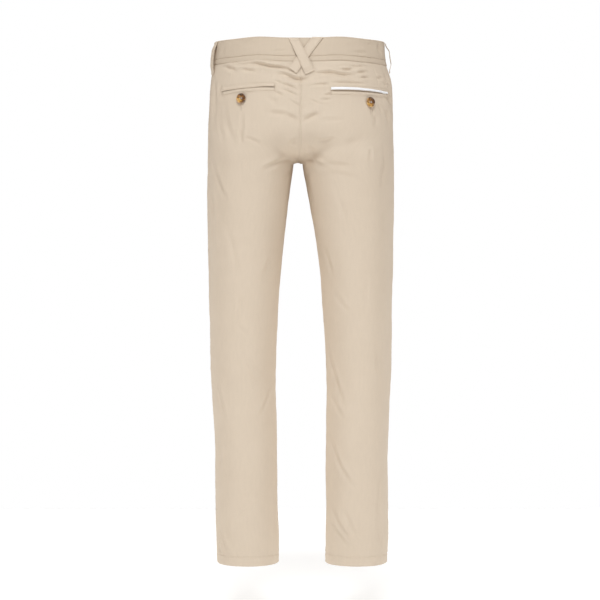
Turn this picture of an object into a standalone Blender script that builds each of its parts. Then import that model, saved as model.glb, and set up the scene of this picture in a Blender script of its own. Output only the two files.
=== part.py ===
"""Casual trousers with crossed belt loops at the centre back, filled out as when they are worn.

Metres, +Z up. The front faces -Y and the wearer's left is +X. The origin is the centre of the
waistband ring, half way up the band, where a wearer's waist holds the trousers. Every cloth piece
is a thin wall of its own thickness, and neighbours stay GAP apart at seams and between layers.
"""

import math

import bpy
import numpy as np
from mathutils import Matrix, Vector

# Cloth and seams
GAP = 0.0003  # between neighbouring pieces
PANEL_WALL = 0.0015  # backs and fronts
HEM_WALL = 0.0030  # the turned-up hem, which thickens the wall on its inside
HEM_HEIGHT = 0.018
HEM_STEP = 0.0025  # height over which the wall thins again above the hem
BAND_PROUD = 0.0010  # how far the waistband stands out from the panels' outer face
STRIP_PROUD = 0.0005
SIDE_PIECE_WALL = 0.0010
BAG_WALL = 0.0010

# Heights from the origin
BAND_HEIGHT = 0.036
STRIP_HEIGHT = 0.009
BAND_TOP = BAND_HEIGHT / 2
BAND_BOTTOM = -BAND_HEIGHT / 2
STRIP_TOP = BAND_BOTTOM - GAP
STRIP_BOTTOM = STRIP_TOP - STRIP_HEIGHT
PANEL_TOP = STRIP_BOTTOM - GAP
SEAT_Z = -0.146  # top of the crotch curve: the body is one ring from here up
FORK_Z = -0.2196  # the point where the four panels meet between the legs
LEG_TOP = FORK_Z - 0.010  # where the side seam passes from the leg to the seat
HEM_Z = -1.018

# The crotch
ARCH_RISE = 0.003  # height of the small flat arch between the legs
FORK_S = 0.07  # station of the fork, between 0 (top of the leg) and 1 (SEAT_Z)
SIDE_FADE = 0.12  # share of the panel's width over which folds fade out at the side seam
INSEAM_FADE = 0.10
PULL_FROM = 0.80  # share of the panel's width past which the cloth turns in to the fork
SEAT_LAG = 1.6  # how much later the outer part of a panel leaves the leg's shape
INNER_REACH = 4  # a higher power keeps the crotch curve's fall closer to the centre seam
CROTCH_ROUNDNESS = 2.3  # of the crotch curve as seen from the side

# Edges of the waist
BACK_WAVE = 0.003  # the waist line rises this much on each side of the centre back
BACK_WAVE_X = 0.080
BACK_WAVE_WIDTH = 0.035
FRONT_DIP = 0.008  # the waist line is cut this much lower at the centre front
HEM_DIP = 0.002  # the hem hangs this much lower at the back

# Fly: the left front laps over the right front, whose edge is set back to clear the zip
FLY_BOTTOM_Z = -0.162
LAP_WIDTH = 0.014
LAP_EDGE_OUT = 0.0020
LAP_OUT = 0.0034
LAP_PROFILE = (0.0, 0.010, 0.034, 0.060)  # distances from the lap's edge
RIGHT_SETBACK = 0.008
UNDERLAP = 0.028  # how far the right end of the band runs under the left end
LAP_REST = 0.006  # how much further round the left end goes on standing out
LAP_RETURN = 0.030  # length over which it comes back to the body
ZIP_HALF = 0.012
ZIP_WALL = 0.0008
SHIELD_HALF = 0.026
SHIELD_WALL = 0.0012
SLIDER_WALL = 0.0024

# Front pocket mouths, slanting from the strip down to the side seam
MOUTH_SET = 0.042  # distance of the mouth's top from the side seam
MOUTH_LOW_Z = -0.182
MOUTH_UNDER = 2  # columns of the front that the side piece runs under
BACK_BAG_COLUMNS = (3, 12)  # columns of the back that its pocket bag lies behind
FRONT_BAG_COLUMNS = (0, 8)
SIDE_PIECE_TUCK = 0.0006  # how much further its edge under the back lies inside

# Belt loops
LOOP_WIDTH = 0.016
LOOP_WALL = 0.0013
LOOP_ON_PANEL = 0.0005  # stand-off of a loop's sewn end on the panel
LOOP_ON_BAND = 0.0014  # and on the waistband
LOOP_STEP = 0.006  # how far below the strip a loop comes down on the panel
CROSSING_SHARE = 0.53  # where along the upper loop the two cross
CROSSING_FLAT = 0.019  # distance from the crossing over which it lies on the under one
CROSSING_FALL = 0.012  # and the distance over which it comes down again
CROSS_WIDTHS = (0.0170, 0.0198)  # of the crossed loops at their tops and bottoms
LOOP_BEND = 0.30  # share of an upright loop's length over which it bends out at each end

# Back pockets
WELT_WALL = 0.0012
BAG_LOW_Z = -0.195

# Buttons
BUTTON_RADIUS = 0.0097
BUTTON_THICK = 0.0036
BUTTON_RIM = 0.0022  # width of the raised rim
BUTTON_DISH = 0.0010  # depth of the face inside the rim
WAIST_BUTTON_RADIUS = 0.0085
BUTTON_CLEAR = 0.0005


def levels(columns, *rows):
    """Named columns of a short table whose rows run from the top down."""
    return dict(zip(columns, np.array(rows)[::-1].T))


# The whole outline: half of the width over both sides, its centre's shift, and the hip ring's
# depth and shape, a superellipse: 2 is an ellipse and more is squarer
BODY = levels(
    ("z", "half_width", "sway", "front", "back", "roundness"),
    (0.0200, 0.1682, 0.0022, 0.103, 0.121, 2.20),
    (0.0034, 0.1689, 0.0030, 0.104, 0.123, 2.20),
    (-0.0180, 0.1712, 0.0031, 0.106, 0.126, 2.22),
    (-0.0366, 0.1750, 0.0016, 0.108, 0.129, 2.25),
    (-0.0566, 0.1794, -0.0002, 0.110, 0.132, 2.30),
    (-0.0766, 0.1816, -0.0005, 0.112, 0.135, 2.36),
    (-0.0966, 0.1822, -0.0004, 0.114, 0.137, 2.44),
    (-0.1366, 0.1832, 0.0000, 0.115, 0.138, 2.60),
    (-0.1766, 0.1840, 0.0001, 0.114, 0.138, 2.70),
    (-0.2266, 0.1849, 0.0002, 0.110, 0.134, 2.70),
    (-0.3166, 0.1860, 0.0003, 0.100, 0.110, 2.70),
    (-0.3766, 0.1852, 0.0003, 0.100, 0.110, 2.70),
    (-0.4966, 0.1829, 0.0003, 0.100, 0.110, 2.70),
    (-0.6466, 0.1798, -0.0002, 0.100, 0.110, 2.70),
    (-0.7366, 0.1756, -0.0010, 0.100, 0.110, 2.70),
    (-0.7966, 0.1731, -0.0014, 0.100, 0.110, 2.70),
    (-0.9166, 0.1728, -0.0020, 0.100, 0.110, 2.70),
    (-0.9766, 0.1723, -0.0024, 0.100, 0.110, 2.70),
    (-1.0200, 0.1706, -0.0024, 0.100, 0.110, 2.70),
)

# One leg: half of the gap between the legs, the gap's own shift, and the leg's depth and shape
LEG = levels(
    ("z", "gap", "gap_shift", "front", "back", "roundness"),
    (-0.1300, 0.0093, 0.0000, 0.148, 0.156, 2.50),
    (-0.1700, 0.0093, 0.0025, 0.130, 0.142, 2.50),
    (-0.2226, 0.0094, 0.0055, 0.105, 0.122, 2.45),
    (-0.2566, 0.0147, 0.0046, 0.101, 0.114, 2.40),
    (-0.3166, 0.0236, 0.0031, 0.096, 0.104, 2.30),
    (-0.3766, 0.0322, 0.0013, 0.092, 0.095, 2.22),
    (-0.4366, 0.0392, 0.0003, 0.088, 0.087, 2.16),
    (-0.4966, 0.0432, 0.0001, 0.084, 0.080, 2.12),
    (-0.5566, 0.0469, 0.0000, 0.080, 0.074, 2.10),
    (-0.6466, 0.0509, 0.0000, 0.075, 0.067, 2.10),
    (-0.7366, 0.0494, 0.0000, 0.069, 0.064, 2.10),
    (-0.7966, 0.0487, 0.0000, 0.065, 0.063, 2.10),
    (-0.9166, 0.0486, 0.0000, 0.058, 0.062, 2.10),
    (-0.9766, 0.0468, 0.0000, 0.056, 0.062, 2.10),
    (-1.0200, 0.0462, 0.0000, 0.054, 0.062, 2.10),
)

# How far each seam is turned towards the back, in radians about its ring's centre
TURNS = levels(
    ("z", "left_side", "left_inseam", "right_side", "right_inseam"),
    (0.0200, 0.28, 0.00, 0.14, 0.00),
    (-0.1300, 0.26, 0.00, 0.12, 0.00),
    (-0.2196, 0.20, 0.00, 0.08, 0.00),
    (-0.2700, 0.16, -0.04, 0.06, 0.28),
    (-0.3200, 0.12, -0.04, 0.04, 0.34),
    (-0.5000, 0.08, 0.00, 0.00, 0.22),
    (-1.0200, 0.05, 0.00, 0.00, 0.12),
)

# The largest folds: a soft trough from one point to another, as seen from behind or in front
FOLD_COLUMNS = ("x", "z", "end_x", "end_z", "half_width", "depth")
BACK_FOLDS = (
    (0.110, -0.034, 0.008, -0.052, 0.010, 0.0018),
    (0.046, -0.056, -0.003, -0.064, 0.009, 0.0016),
    (0.069, -0.238, 0.018, -0.215, 0.014, 0.0028),
    (-0.010, -0.194, -0.044, -0.209, 0.013, 0.0022),
    (-0.058, -0.226, -0.086, -0.228, 0.013, 0.0016),
    (0.117, -0.152, 0.117, -0.190, 0.010, 0.0016),
    (-0.134, -0.120, -0.140, -0.150, 0.010, 0.0014),
    (-0.162, -0.225, -0.160, -0.310, 0.012, 0.0018),
    (0.166, -0.255, 0.152, -0.290, 0.012, 0.0016),
    (0.091, -0.621, 0.074, -0.656, 0.013, 0.0024),
    (0.167, -0.686, 0.154, -0.722, 0.012, 0.0020),
    (-0.056, -0.634, -0.080, -0.688, 0.014, 0.0022),
    (-0.066, -0.788, -0.120, -0.880, 0.016, 0.0026),
    (-0.156, -0.855, -0.164, -0.995, 0.012, 0.0018),
    (-0.072, -0.955, -0.108, -1.004, 0.012, 0.0022),
)
FRONT_FOLDS = (
    (0.012, -0.196, 0.070, -0.168, 0.014, 0.0016),
    (-0.012, -0.198, -0.066, -0.176, 0.014, 0.0014),
    (0.024, -0.250, 0.076, -0.266, 0.016, 0.0012),
    (-0.024, -0.252, -0.080, -0.258, 0.016, 0.0014),
    (0.150, -0.630, 0.098, -0.652, 0.014, 0.0022),
    (-0.148, -0.618, -0.092, -0.646, 0.014, 0.0024),
    (0.140, -0.700, 0.110, -0.722, 0.013, 0.0018),
    (-0.066, -0.900, -0.120, -0.962, 0.014, 0.0020),
    (0.070, -0.905, 0.118, -0.968, 0.014, 0.0018),
)

# Crossed loops as seen from behind: top, bottom, height at which the top is cut level, and 1 for
# the one that lies over the other
CROSS_LOOPS = (
    ("loop_cross_under", (-0.0306, 0.0160), (0.0166, -0.0470), 0.0188, 0.0),
    ("loop_cross_upper", (0.0121, 0.0122), (-0.0176, -0.0508), 0.0158, 1.0),
)
# Upright loops: angle round the waist from +X through the back, top and bottom, and stand-off
UPRIGHT_LOOPS = (
    ("loop_side_left", 17.0, 0.0160, -0.0480, 0.0045),
    ("loop_side_right", 178.5, 0.0160, -0.0430, 0.0080),
    ("loop_front_left", -59.0, 0.0110, -0.0510, 0.0030),
    ("loop_front_right", -121.0, 0.0110, -0.0510, 0.0030),
)

# Back pockets: the opening line's inner and outer ends, and how far it bows up
POCKETS = (
    ("left", (0.0501, -0.0795), (0.1541, -0.0848), 0.0027),
    ("right", (-0.0583, -0.0868), (-0.1690, -0.0877), 0.0010),
)
# Welts: how high over the opening line the lip and the sewn edge are at shares of the line
WELT_SHARES = (0, 0.40, 0.84, 1)
WELTS = (
    ("left", "upper", (0.0016, 0.0004, 0.0003, -0.0006), (0.0078, 0.0072, 0.0070, 0.0066)),
    ("left", "lower", (0.0000, -0.0004, -0.0008, -0.0022), (-0.0062, -0.0068, -0.0070, -0.0078)),
    ("right", "upper", (0.0031, 0.0028, 0.0012, -0.0003), (0.0088, 0.0086, 0.0060, 0.0043)),
    ("right", "lower", (0.0001, -0.0004, -0.0010, -0.0013), (-0.0060, -0.0068, -0.0070, -0.0068)),
)
BACK_BUTTONS = (
    ("button_back_left", 0.1149, -0.0995),
    ("button_back_right", -0.1340, -0.1064),
)

# Resolution
BACK_COLUMNS = 14
FRONT_STOPS = (0, 0.08, 0.17, 0.27, 0.38, 0.49, 0.60, 0.71, 0.80, 0.88, 0.94, 1)
LEG_ROWS = 22
SEAT_ROWS = 8
HIP_ROWS = 7

# Colours (linear) with roughness and metallic value
CLOTH = ("beige_twill", (0.63, 0.52, 0.41), 0.85, 0.0)
POCKETING = ("pocketing_cotton", (0.70, 0.64, 0.55), 0.9, 0.0)
WHITE_CLOTH = ("white_cotton", (0.90, 0.90, 0.90), 0.8, 0.0)
HORN = ("brown_horn", (0.26, 0.13, 0.045), 0.35, 0.0)
BRASS = ("aged_brass", (0.55, 0.42, 0.22), 0.35, 1.0)


# ---------------------------------------------------------------- curves


def read(table, column, z):
    """The value of a column at height z, on a smooth curve through the table's rows."""
    heights, values = table["z"], table[column]
    slopes = np.gradient(values, heights)
    z = np.clip(z, heights[0], heights[-1])
    i = np.clip(np.searchsorted(heights, z) - 1, 0, len(heights) - 2)
    step = heights[i + 1] - heights[i]
    t = (z - heights[i]) / step
    rest = 1 - t
    low = (1 + 2 * t) * rest**2 * values[i] + t * rest**2 * step * slopes[i]
    high = t**2 * (3 - 2 * t) * values[i + 1] - t**2 * rest * step * slopes[i + 1]
    return low + high


def smooth(t):
    """An even rise from 0 to 1 with flat ends."""
    t = np.clip(t, 0, 1)
    return t * t * (3 - 2 * t)


def superellipse(angle, roundness):
    """The unit superellipse at a polar angle."""
    cosine, sine = np.cos(angle), np.sin(angle)
    radius = (np.abs(cosine) ** roundness + np.abs(sine) ** roundness) ** (-1 / roundness)
    return radius * cosine, radius * sine


def unit(vectors):
    """Vectors scaled to length 1."""
    return vectors / np.linalg.norm(vectors, axis=-1, keepdims=True)


def normals_of(points):
    """Normals of a grid of points, from its neighbours along rows and columns."""
    across = np.gradient(points, axis=1)
    along = np.gradient(points, axis=0)
    return unit(np.cross(across, along))


# ---------------------------------------------------------------- the body's surface


def edge_lift(angle):
    """How far the waist's edges rise or dip at an angle round the body."""
    x = read(BODY, "half_width", 0.0) * np.cos(angle)
    wave = BACK_WAVE * np.exp(-(((np.abs(x) - BACK_WAVE_X) / BACK_WAVE_WIDTH) ** 2))
    depth = np.sin(angle)
    return np.where(depth > 0, wave * smooth(depth / 0.5), -FRONT_DIP * depth**2)


def hip_ring(angle, z):
    """The panels' outer face at an angle round the hips, from +X through the back."""
    cosine, sine = superellipse(angle, read(BODY, "roundness", z))
    front, back = read(BODY, "front", z), read(BODY, "back", z)
    x = read(BODY, "half_width", z) * cosine + read(BODY, "sway", z)
    y = (back - front) / 2 + (back + front) / 2 * sine
    return np.stack([x, y, z + 0 * cosine], axis=-1)


def hip_point(angle, z, out):
    """A point that stands out from the hips' outer face, along the face's own normal."""
    angle, z, out = np.broadcast_arrays(angle, z, out)
    small = 1e-4
    around = hip_ring(angle + small, z) - hip_ring(angle - small, z)
    upward = hip_ring(angle, z + small) - hip_ring(angle, z - small)
    return hip_ring(angle, z) + unit(np.cross(around, upward)) * out[..., None]


def back_angle(x, z):
    """The angle round the hips of a point of the back with that x."""
    side = (x - read(BODY, "sway", z)) / read(BODY, "half_width", z)
    roundness = read(BODY, "roundness", z)
    depth = (1 - np.abs(side) ** roundness) ** (1 / roundness)
    return np.arctan2(depth, side)


def crotch_curve(s):
    """How far back and up the centre seam has come from the fork at a station, from 0 to 1."""
    rise = np.clip((s - FORK_S) / (1 - FORK_S), 0, 1) * math.pi / 2
    level, ahead = superellipse(rise, CROTCH_ROUNDNESS)
    return ahead, 1 - level


def panel_points(side, face, u, s):
    """The outer face of a back (face 1) or front (face -1) panel on the left (side 1) or right (-1).

    u runs from the side seam (0) to the inseam and crotch seam (1), and on past the centre seam.
    s runs from the hem (-1) to the top of the leg (0), the fork (FORK_S), the top of the crotch
    curve (1) and the panel's top edge (2).
    """
    past = u > 1
    u = np.where(past, 2 - u, u)
    arch = np.clip(s / FORK_S, 0, 1) * math.pi / 2
    ahead, risen = crotch_curve(s)
    outer_z = np.interp(s, (-1, 0, 1), (HEM_Z, LEG_TOP, SEAT_Z))
    leg_inner_z = HEM_Z + (1 + s) * (FORK_Z - ARCH_RISE - HEM_Z)
    seat_inner_z = FORK_Z - ARCH_RISE * (1 - np.sin(arch)) + (SEAT_Z - FORK_Z) * risen
    inner_z = np.where(s < 0, leg_inner_z, seat_inner_z)
    z = outer_z + u**INNER_REACH * (inner_z - outer_z)

    name = "left" if side > 0 else "right"
    turn, inseam_turn = read(TURNS, name + "_side", z), read(TURNS, name + "_inseam", z)
    hip_angle = turn + u * (face * math.pi / 2 - turn)
    leg_angle = turn + u * (face * math.pi - inseam_turn - turn)
    hip_z = SEAT_Z + (s - 1) * (PANEL_TOP + edge_lift(hip_angle) - SEAT_Z)
    dip = HEM_DIP * np.clip(np.sin(leg_angle), 0, 1) * np.clip(-s, 0, 1) ** 12
    z = np.where(s > 1, hip_z, z - dip)

    outer = read(BODY, "half_width", z)
    gap, shift = read(LEG, "gap", z), side * read(LEG, "gap_shift", z)
    leg_x, leg_y = superellipse(leg_angle, read(LEG, "roundness", z))
    leg_x = (outer + gap + shift) / 2 + (outer - gap - shift) / 2 * leg_x
    leg_x -= gap * smooth((u - PULL_FROM) / (1 - PULL_FROM)) * (1 - np.cos(arch))
    leg_front, leg_back = read(LEG, "front", z), read(LEG, "back", z)
    leg_y = (leg_back - leg_front) / 2 + (leg_back + leg_front) / 2 * leg_y

    hip_x, hip_y = superellipse(hip_angle, read(BODY, "roundness", z))
    front, back = read(BODY, "front", z), read(BODY, "back", z)
    hip_x = outer * hip_x
    hip_y = (back - front) / 2 + (back + front) / 2 * hip_y

    blend = np.where(s > 1, 1, ahead ** (1 + SEAT_LAG * (1 - u)))
    x = (1 - blend) * leg_x + blend * hip_x
    y = (1 - blend) * leg_y + blend * hip_y
    x = side * np.where(past, -x, x) + read(BODY, "sway", z)
    return np.stack([x, y, z], axis=-1)


def fold_depth(points, folds):
    """How deep the troughs of a table of folds press into each point."""
    depth = np.zeros(points.shape[:-1])
    for row in folds:
        fold = dict(zip(FOLD_COLUMNS, row))
        start = np.array((fold["x"], fold["z"]))
        run = np.array((fold["end_x"], fold["end_z"])) - start
        offset = points[..., (0, 2)] - start
        along = np.clip(offset @ run / (run @ run), 0, 1)
        distance = np.linalg.norm(offset - along[..., None] * run, axis=-1)
        depth += fold["depth"] * np.exp(-((distance / fold["half_width"]) ** 2))
    return depth


# ---------------------------------------------------------------- meshes and objects


def material(recipe):
    """The Principled material of a recipe, made once."""
    name, colour, roughness, metallic = recipe
    if name in bpy.data.materials:
        return bpy.data.materials[name]
    made = bpy.data.materials.new(name)
    made.use_nodes = True
    shader = made.node_tree.nodes["Principled BSDF"]
    shader.inputs["Base Color"].default_value = (*colour, 1)
    shader.inputs["Roughness"].default_value = roughness
    shader.inputs["Metallic"].default_value = metallic
    made.diffuse_color = (*colour, 1)
    return made


def add_object(name, points, faces, recipe):
    """A closed mesh object under the garment's empty, with its faces pointing out."""
    points = np.asarray(points, float)
    corners = [points[[f[0] for f in faces]], points[[f[1] for f in faces]]]
    corners.append(points[[f[2] for f in faces]])
    volume = np.einsum("ij,ij->i", corners[0], np.cross(corners[1], corners[2])).sum()
    if volume < 0:
        faces = [tuple(reversed(f)) for f in faces]
    mesh = bpy.data.meshes.new(name)
    mesh.from_pydata([tuple(p) for p in points], [], faces)
    mesh.materials.append(material(recipe))
    mesh.shade_smooth()
    mesh.set_sharp_from_angle(angle=math.radians(40))
    made = bpy.data.objects.new(name, mesh)
    bpy.context.scene.collection.objects.link(made)
    made.parent = bpy.data.objects["trousers"]
    return made


def add_wall(name, outer, inner, recipe):
    """A closed wall between two grids of points with the same rows and columns."""
    rows, columns = outer.shape[:2]
    ids = np.arange(rows * columns).reshape(rows, columns)
    below = rows * columns
    faces = []
    for r in range(rows - 1):
        for c in range(columns - 1):
            a, b, d, e = ids[r, c], ids[r, c + 1], ids[r + 1, c + 1], ids[r + 1, c]
            faces += [(a, b, d), (a, d, e)]
            faces += [(a + below, d + below, b + below), (a + below, e + below, d + below)]
    rim = [*ids[0, :-1], *ids[:-1, -1], *ids[-1, :0:-1], *ids[:0:-1, 0]]
    for a, b in zip(rim, rim[1:] + rim[:1]):
        faces += [(b, a, a + below), (b, a + below, b + below)]
    faces = [tuple(int(i) for i in f) for f in faces]
    points = np.concatenate([outer.reshape(-1, 3), inner.reshape(-1, 3)])
    return add_object(name, points, faces, recipe)


# ---------------------------------------------------------------- backs and fronts


def row_stations():
    """The stations of the panels' rows, from the hem up, shared by all four panels."""
    leg = LEG_TOP - HEM_Z
    hem_top = -1 + HEM_HEIGHT / leg
    hem_end = -1 + (HEM_HEIGHT + HEM_STEP) / leg
    legs = np.linspace(hem_end, 0, LEG_ROWS + 1)
    seat = np.linspace(FORK_S, 1, SEAT_ROWS + 1)
    hips = np.linspace(1, 2, HIP_ROWS + 1)[1:]
    return np.concatenate([(-1, hem_top), legs, (FORK_S / 2,), seat, hips])


def side_height(s):
    """The height of the side seam at a station."""
    return np.interp(s, (-1, 0, 1, 2), (HEM_Z, LEG_TOP, SEAT_Z, PANEL_TOP))


def centre_height(s):
    """The height of the centre seam at a station above the fork."""
    curve = FORK_Z + (SEAT_Z - FORK_Z) * crotch_curve(s)[1]
    return np.where(s > 1, SEAT_Z + (s - 1) * (PANEL_TOP - SEAT_Z), curve)


STATIONS = row_stations()
FORK_ROW = int(np.argmin(np.abs(STATIONS - FORK_S)))
FLY_ROWS = (STATIONS > FORK_S) & (centre_height(STATIONS) > FLY_BOTTOM_Z)
FLY_START = int(np.argmax(FLY_ROWS))
MOUTH_ROWS = side_height(STATIONS) > MOUTH_LOW_Z
MOUTH_START = int(np.argmax(MOUTH_ROWS))
QUARTER_ARC = 0.239  # a quarter of the hips' girth
CENTRE_REACH = 0.281  # how far x moves for a unit of u at the centre seams


def mouth_share(s):
    """The share of the front's width that the pocket's mouth takes off at a station."""
    up = (side_height(s) - MOUTH_LOW_Z) / (PANEL_TOP - MOUTH_LOW_Z)
    return np.clip(up, 0, 1) * MOUTH_SET / QUARTER_ARC


def lap_out(distance):
    """How far the left front stands out at a distance from its lapped edge."""
    return np.interp(distance, LAP_PROFILE, (LAP_EDGE_OUT, LAP_OUT, LAP_OUT, 0))


def make_panel(side, face):
    """The points and normals of one panel's outer face, and its wall's thickness by row."""
    s = STATIONS[:, None]
    if face > 0:
        u = np.linspace(0, 1, BACK_COLUMNS + 1)[None, :] + 0 * s
    else:
        start = mouth_share(s)
        end = np.ones_like(s)
        if side > 0:
            end[FLY_START + 1 :] += LAP_WIDTH / CENTRE_REACH
        else:
            end[FLY_START + 1 :] -= RIGHT_SETBACK / CENTRE_REACH
        u = start + np.array(FRONT_STOPS)[None, :] * (end - start)
    points = panel_points(side, face, u, s + 0 * u)
    normals = normals_of(points) * side * face
    seam_fade = smooth(u / SIDE_FADE) * np.where(s < FORK_S, smooth((1 - u) / INSEAM_FADE), 1)
    folds = BACK_FOLDS if face > 0 else FRONT_FOLDS
    points = points - normals * (fold_depth(points, folds) * seam_fade)[..., None]
    if side > 0 > face:
        steps = np.linalg.norm(np.diff(points, axis=1), axis=-1)
        to_edge = np.cumsum(steps[:, ::-1], axis=1)[:, ::-1]
        to_edge = np.concatenate([to_edge, np.zeros_like(s)], axis=1)
        lifted = np.arange(len(STATIONS))[:, None] >= FLY_START
        points = points + normals * np.where(lifted, lap_out(to_edge), 0)[..., None]
    normals = normals_of(points) * side * face
    thickness = np.interp(side_height(s), (HEM_Z + HEM_HEIGHT, HEM_Z + HEM_HEIGHT + HEM_STEP),
                          (HEM_WALL, PANEL_WALL))
    return {"points": points, "normals": normals, "wall": thickness}


def share_normals(parts):
    """Give the same normals to edges that lie along one seam; each part is (panel, rows, column)."""
    mean = unit(sum(panel["normals"][rows, column] for panel, rows, column in parts))
    for panel, rows, column in parts:
        panel["normals"][rows, column] = mean


def open_seam(first, second, rows, column):
    """Draw two panels' shared edges half a gap back from their seam."""
    inward = 1 if column == 0 else -1
    near_first = first["points"][rows, column + inward]
    near_second = second["points"][rows, column + inward]
    across = near_first - near_second
    normal = first["normals"][rows, column]
    across = unit(across - (across * normal).sum(-1, keepdims=True) * normal)
    first["points"][rows, column] += across * GAP / 2
    second["points"][rows, column] -= across * GAP / 2


def make_panels():
    """All four panels with their seams opened, by side and face."""
    panels = {(side, face): make_panel(side, face) for side in (1, -1) for face in (1, -1)}
    last = -1
    side_rows = slice(0, MOUTH_START)
    inseam_rows = slice(0, FORK_ROW + 1)
    back_rows = slice(FORK_ROW, len(STATIONS))
    front_rows = slice(FORK_ROW, FLY_START)
    for side in (1, -1):
        back, front = panels[side, 1], panels[side, -1]
        share_normals([(back, side_rows, 0), (front, side_rows, 0)])
        share_normals([(back, inseam_rows, last), (front, inseam_rows, last)])
    for face, rows in ((1, back_rows), (-1, front_rows)):
        share_normals([(panels[1, face], rows, last), (panels[-1, face], rows, last)])
    share_normals([(panel, FORK_ROW, last) for panel in panels.values()])
    for side in (1, -1):
        back, front = panels[side, 1], panels[side, -1]
        open_seam(back, front, side_rows, 0)
        open_seam(back, front, inseam_rows, last)
        back["points"][MOUTH_START:, 0, 1] += GAP / 2
    open_seam(panels[1, 1], panels[-1, 1], back_rows, last)
    open_seam(panels[1, -1], panels[-1, -1], front_rows, last)
    return panels


def add_panels(panels):
    """The two backs and two fronts as walls."""
    for (side, face), panel in panels.items():
        name = ("back_" if face > 0 else "front_") + ("left" if side > 0 else "right")
        inner = panel["points"] - panel["normals"] * panel["wall"][..., None]
        add_wall(name, panel["points"], inner, CLOTH)


# ---------------------------------------------------------------- what lies inside the panels


def add_layer(name, points, normals, depth, wall, recipe):
    """A wall made from a panel's outer points, from depth inside them to depth + wall."""
    add_wall(name, points - normals * depth, points - normals * (depth + wall), recipe)


def add_side_piece(side, front, back):
    """The side piece seen in a front pocket's mouth, running under the front and the back."""
    name = "side_piece_" + ("left" if side > 0 else "right")
    rows = np.arange(MOUTH_START - 1, len(STATIONS))
    points, normals = [], []
    for row in rows:
        edge = back["points"][row, 0:2]
        edge_normals = back["normals"][row, 0:2]
        front_points = front["points"][row]
        front_normals = front["normals"][row]
        if row < MOUTH_START:
            shares = (0.25, 0.50, 0.75)
            middle = [front_points[0] + (front_points[1] - front_points[0]) * t for t in shares]
            middle_normals = [front_normals[0]] * 3
        else:
            u = mouth_share(STATIONS[row]) * np.array([[1, 2]]) / 3
            grid = panel_points(side, -1, u, np.full((1, 2), STATIONS[row]))
            middle = [*grid[0], front_points[0]]
            middle_normals = [edge_normals[0], front_normals[0], front_normals[0]]
        after = slice(1, MOUTH_UNDER + 1)
        tucked = edge[1] - edge_normals[1] * SIDE_PIECE_TUCK
        points.append([tucked, edge[0], *middle, *front_points[after]])
        normals.append([edge_normals[1], edge_normals[0], *middle_normals, *front_normals[after]])
    points, normals = np.array(points), unit(np.array(normals))
    add_layer(name, points, normals, PANEL_WALL + GAP, SIDE_PIECE_WALL, CLOTH)


def add_bags(side, front, back):
    """The back and front pocket bags, on every second column of the panels."""
    name = "left" if side > 0 else "right"
    top = len(STATIONS) - 1
    low = int(np.argmax(side_height(STATIONS) > BAG_LOW_Z))
    rows = np.arange(top, low - 1, -1)
    pick = np.ix_(rows, np.arange(*BACK_BAG_COLUMNS, 2))
    add_layer("back_bag_" + name, back["points"][pick], back["normals"][pick],
              PANEL_WALL + GAP, BAG_WALL, POCKETING)
    pick = np.ix_(rows, np.arange(*FRONT_BAG_COLUMNS, 2))
    add_layer("front_bag_" + name, front["points"][pick], front["normals"][pick],
              PANEL_WALL + SIDE_PIECE_WALL + 2 * GAP, BAG_WALL, POCKETING)


def centre_front(half, depth, rows):
    """Points and normals of a strip that straddles the centre front, at a depth inside it."""
    u = 1 + np.linspace(-half, half, 5)[None, :] / CENTRE_REACH
    s = np.linspace(STATIONS[FLY_START - 1], 2, rows)[:, None] + 0 * u
    points = panel_points(1, -1, u + 0 * s, s)
    normals = -normals_of(points)
    return points - normals * depth, normals


def add_fly():
    """The zip's tape and the shield behind it, and the slider at the zip's top."""
    tape_depth = PANEL_WALL + 4 * GAP
    tape, normals = centre_front(ZIP_HALF, tape_depth, 9)
    add_wall("zip_tape", tape, tape - normals * ZIP_WALL, CLOTH)
    shield, normals = centre_front(SHIELD_HALF, tape_depth + ZIP_WALL + GAP, 9)
    add_wall("fly_shield", shield, shield - normals * SHIELD_WALL, CLOTH)
    add_slider(tape[-2, 2], normals[-2, 2])


def add_slider(seat, normal):
    """The slider with its pull tab hanging flat in front of it, in one plate."""
    outline = (  # half of the plate's outline, from its top down
        (0.0020, 0.0000),
        (0.0036, -0.0022),
        (0.0036, -0.0066),
        (0.0022, -0.0086),
        (0.0022, -0.0240),
        (0.0012, -0.0256),
    )
    plate = [(x, z) for x, z in outline] + [(-x, z) for x, z in reversed(outline)]
    down = unit(np.array((0.0, -normal[2], normal[1]))) * np.sign(normal[1])
    down = -down if down[2] > 0 else down
    across = np.array((1.0, 0.0, 0.0))
    base = seat + normal * (GAP * 2)
    back_face = [base + across * x - down * z for x, z in plate]
    front_face = [p + normal * SLIDER_WALL for p in back_face]
    n = len(plate)
    middle = n // 2
    faces = []
    for i in range(middle - 1):
        a, b, c, d = i, i + 1, n - 2 - i, n - 1 - i
        faces += [(a, b, c), (a, c, d), (a + n, c + n, b + n), (a + n, d + n, c + n)]
    for i in range(n):
        j = (i + 1) % n
        faces += [(j, i, i + n), (j, i + n, j + n)]
    add_object("zip_slider", back_face + front_face, faces, BRASS)


# ---------------------------------------------------------------- waist


def waist_angles():
    """Angles round the waist from the lapped left end, through the back, to the right end."""
    reach = read(BODY, "half_width", 0.0)
    start = -math.pi / 2 - LAP_WIDTH / reach
    end = 1.5 * math.pi + UNDERLAP / reach
    left_turn, right_turn = 0.50, 0.25  # angles of the lapped ends, which take more points
    left_end = np.linspace(start, start + left_turn, 9)
    middle = np.linspace(start + left_turn, end - right_turn, 47)[1:-1]
    right_end = np.linspace(end - right_turn, end, 5)
    return np.concatenate([left_end, middle, right_end])


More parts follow.
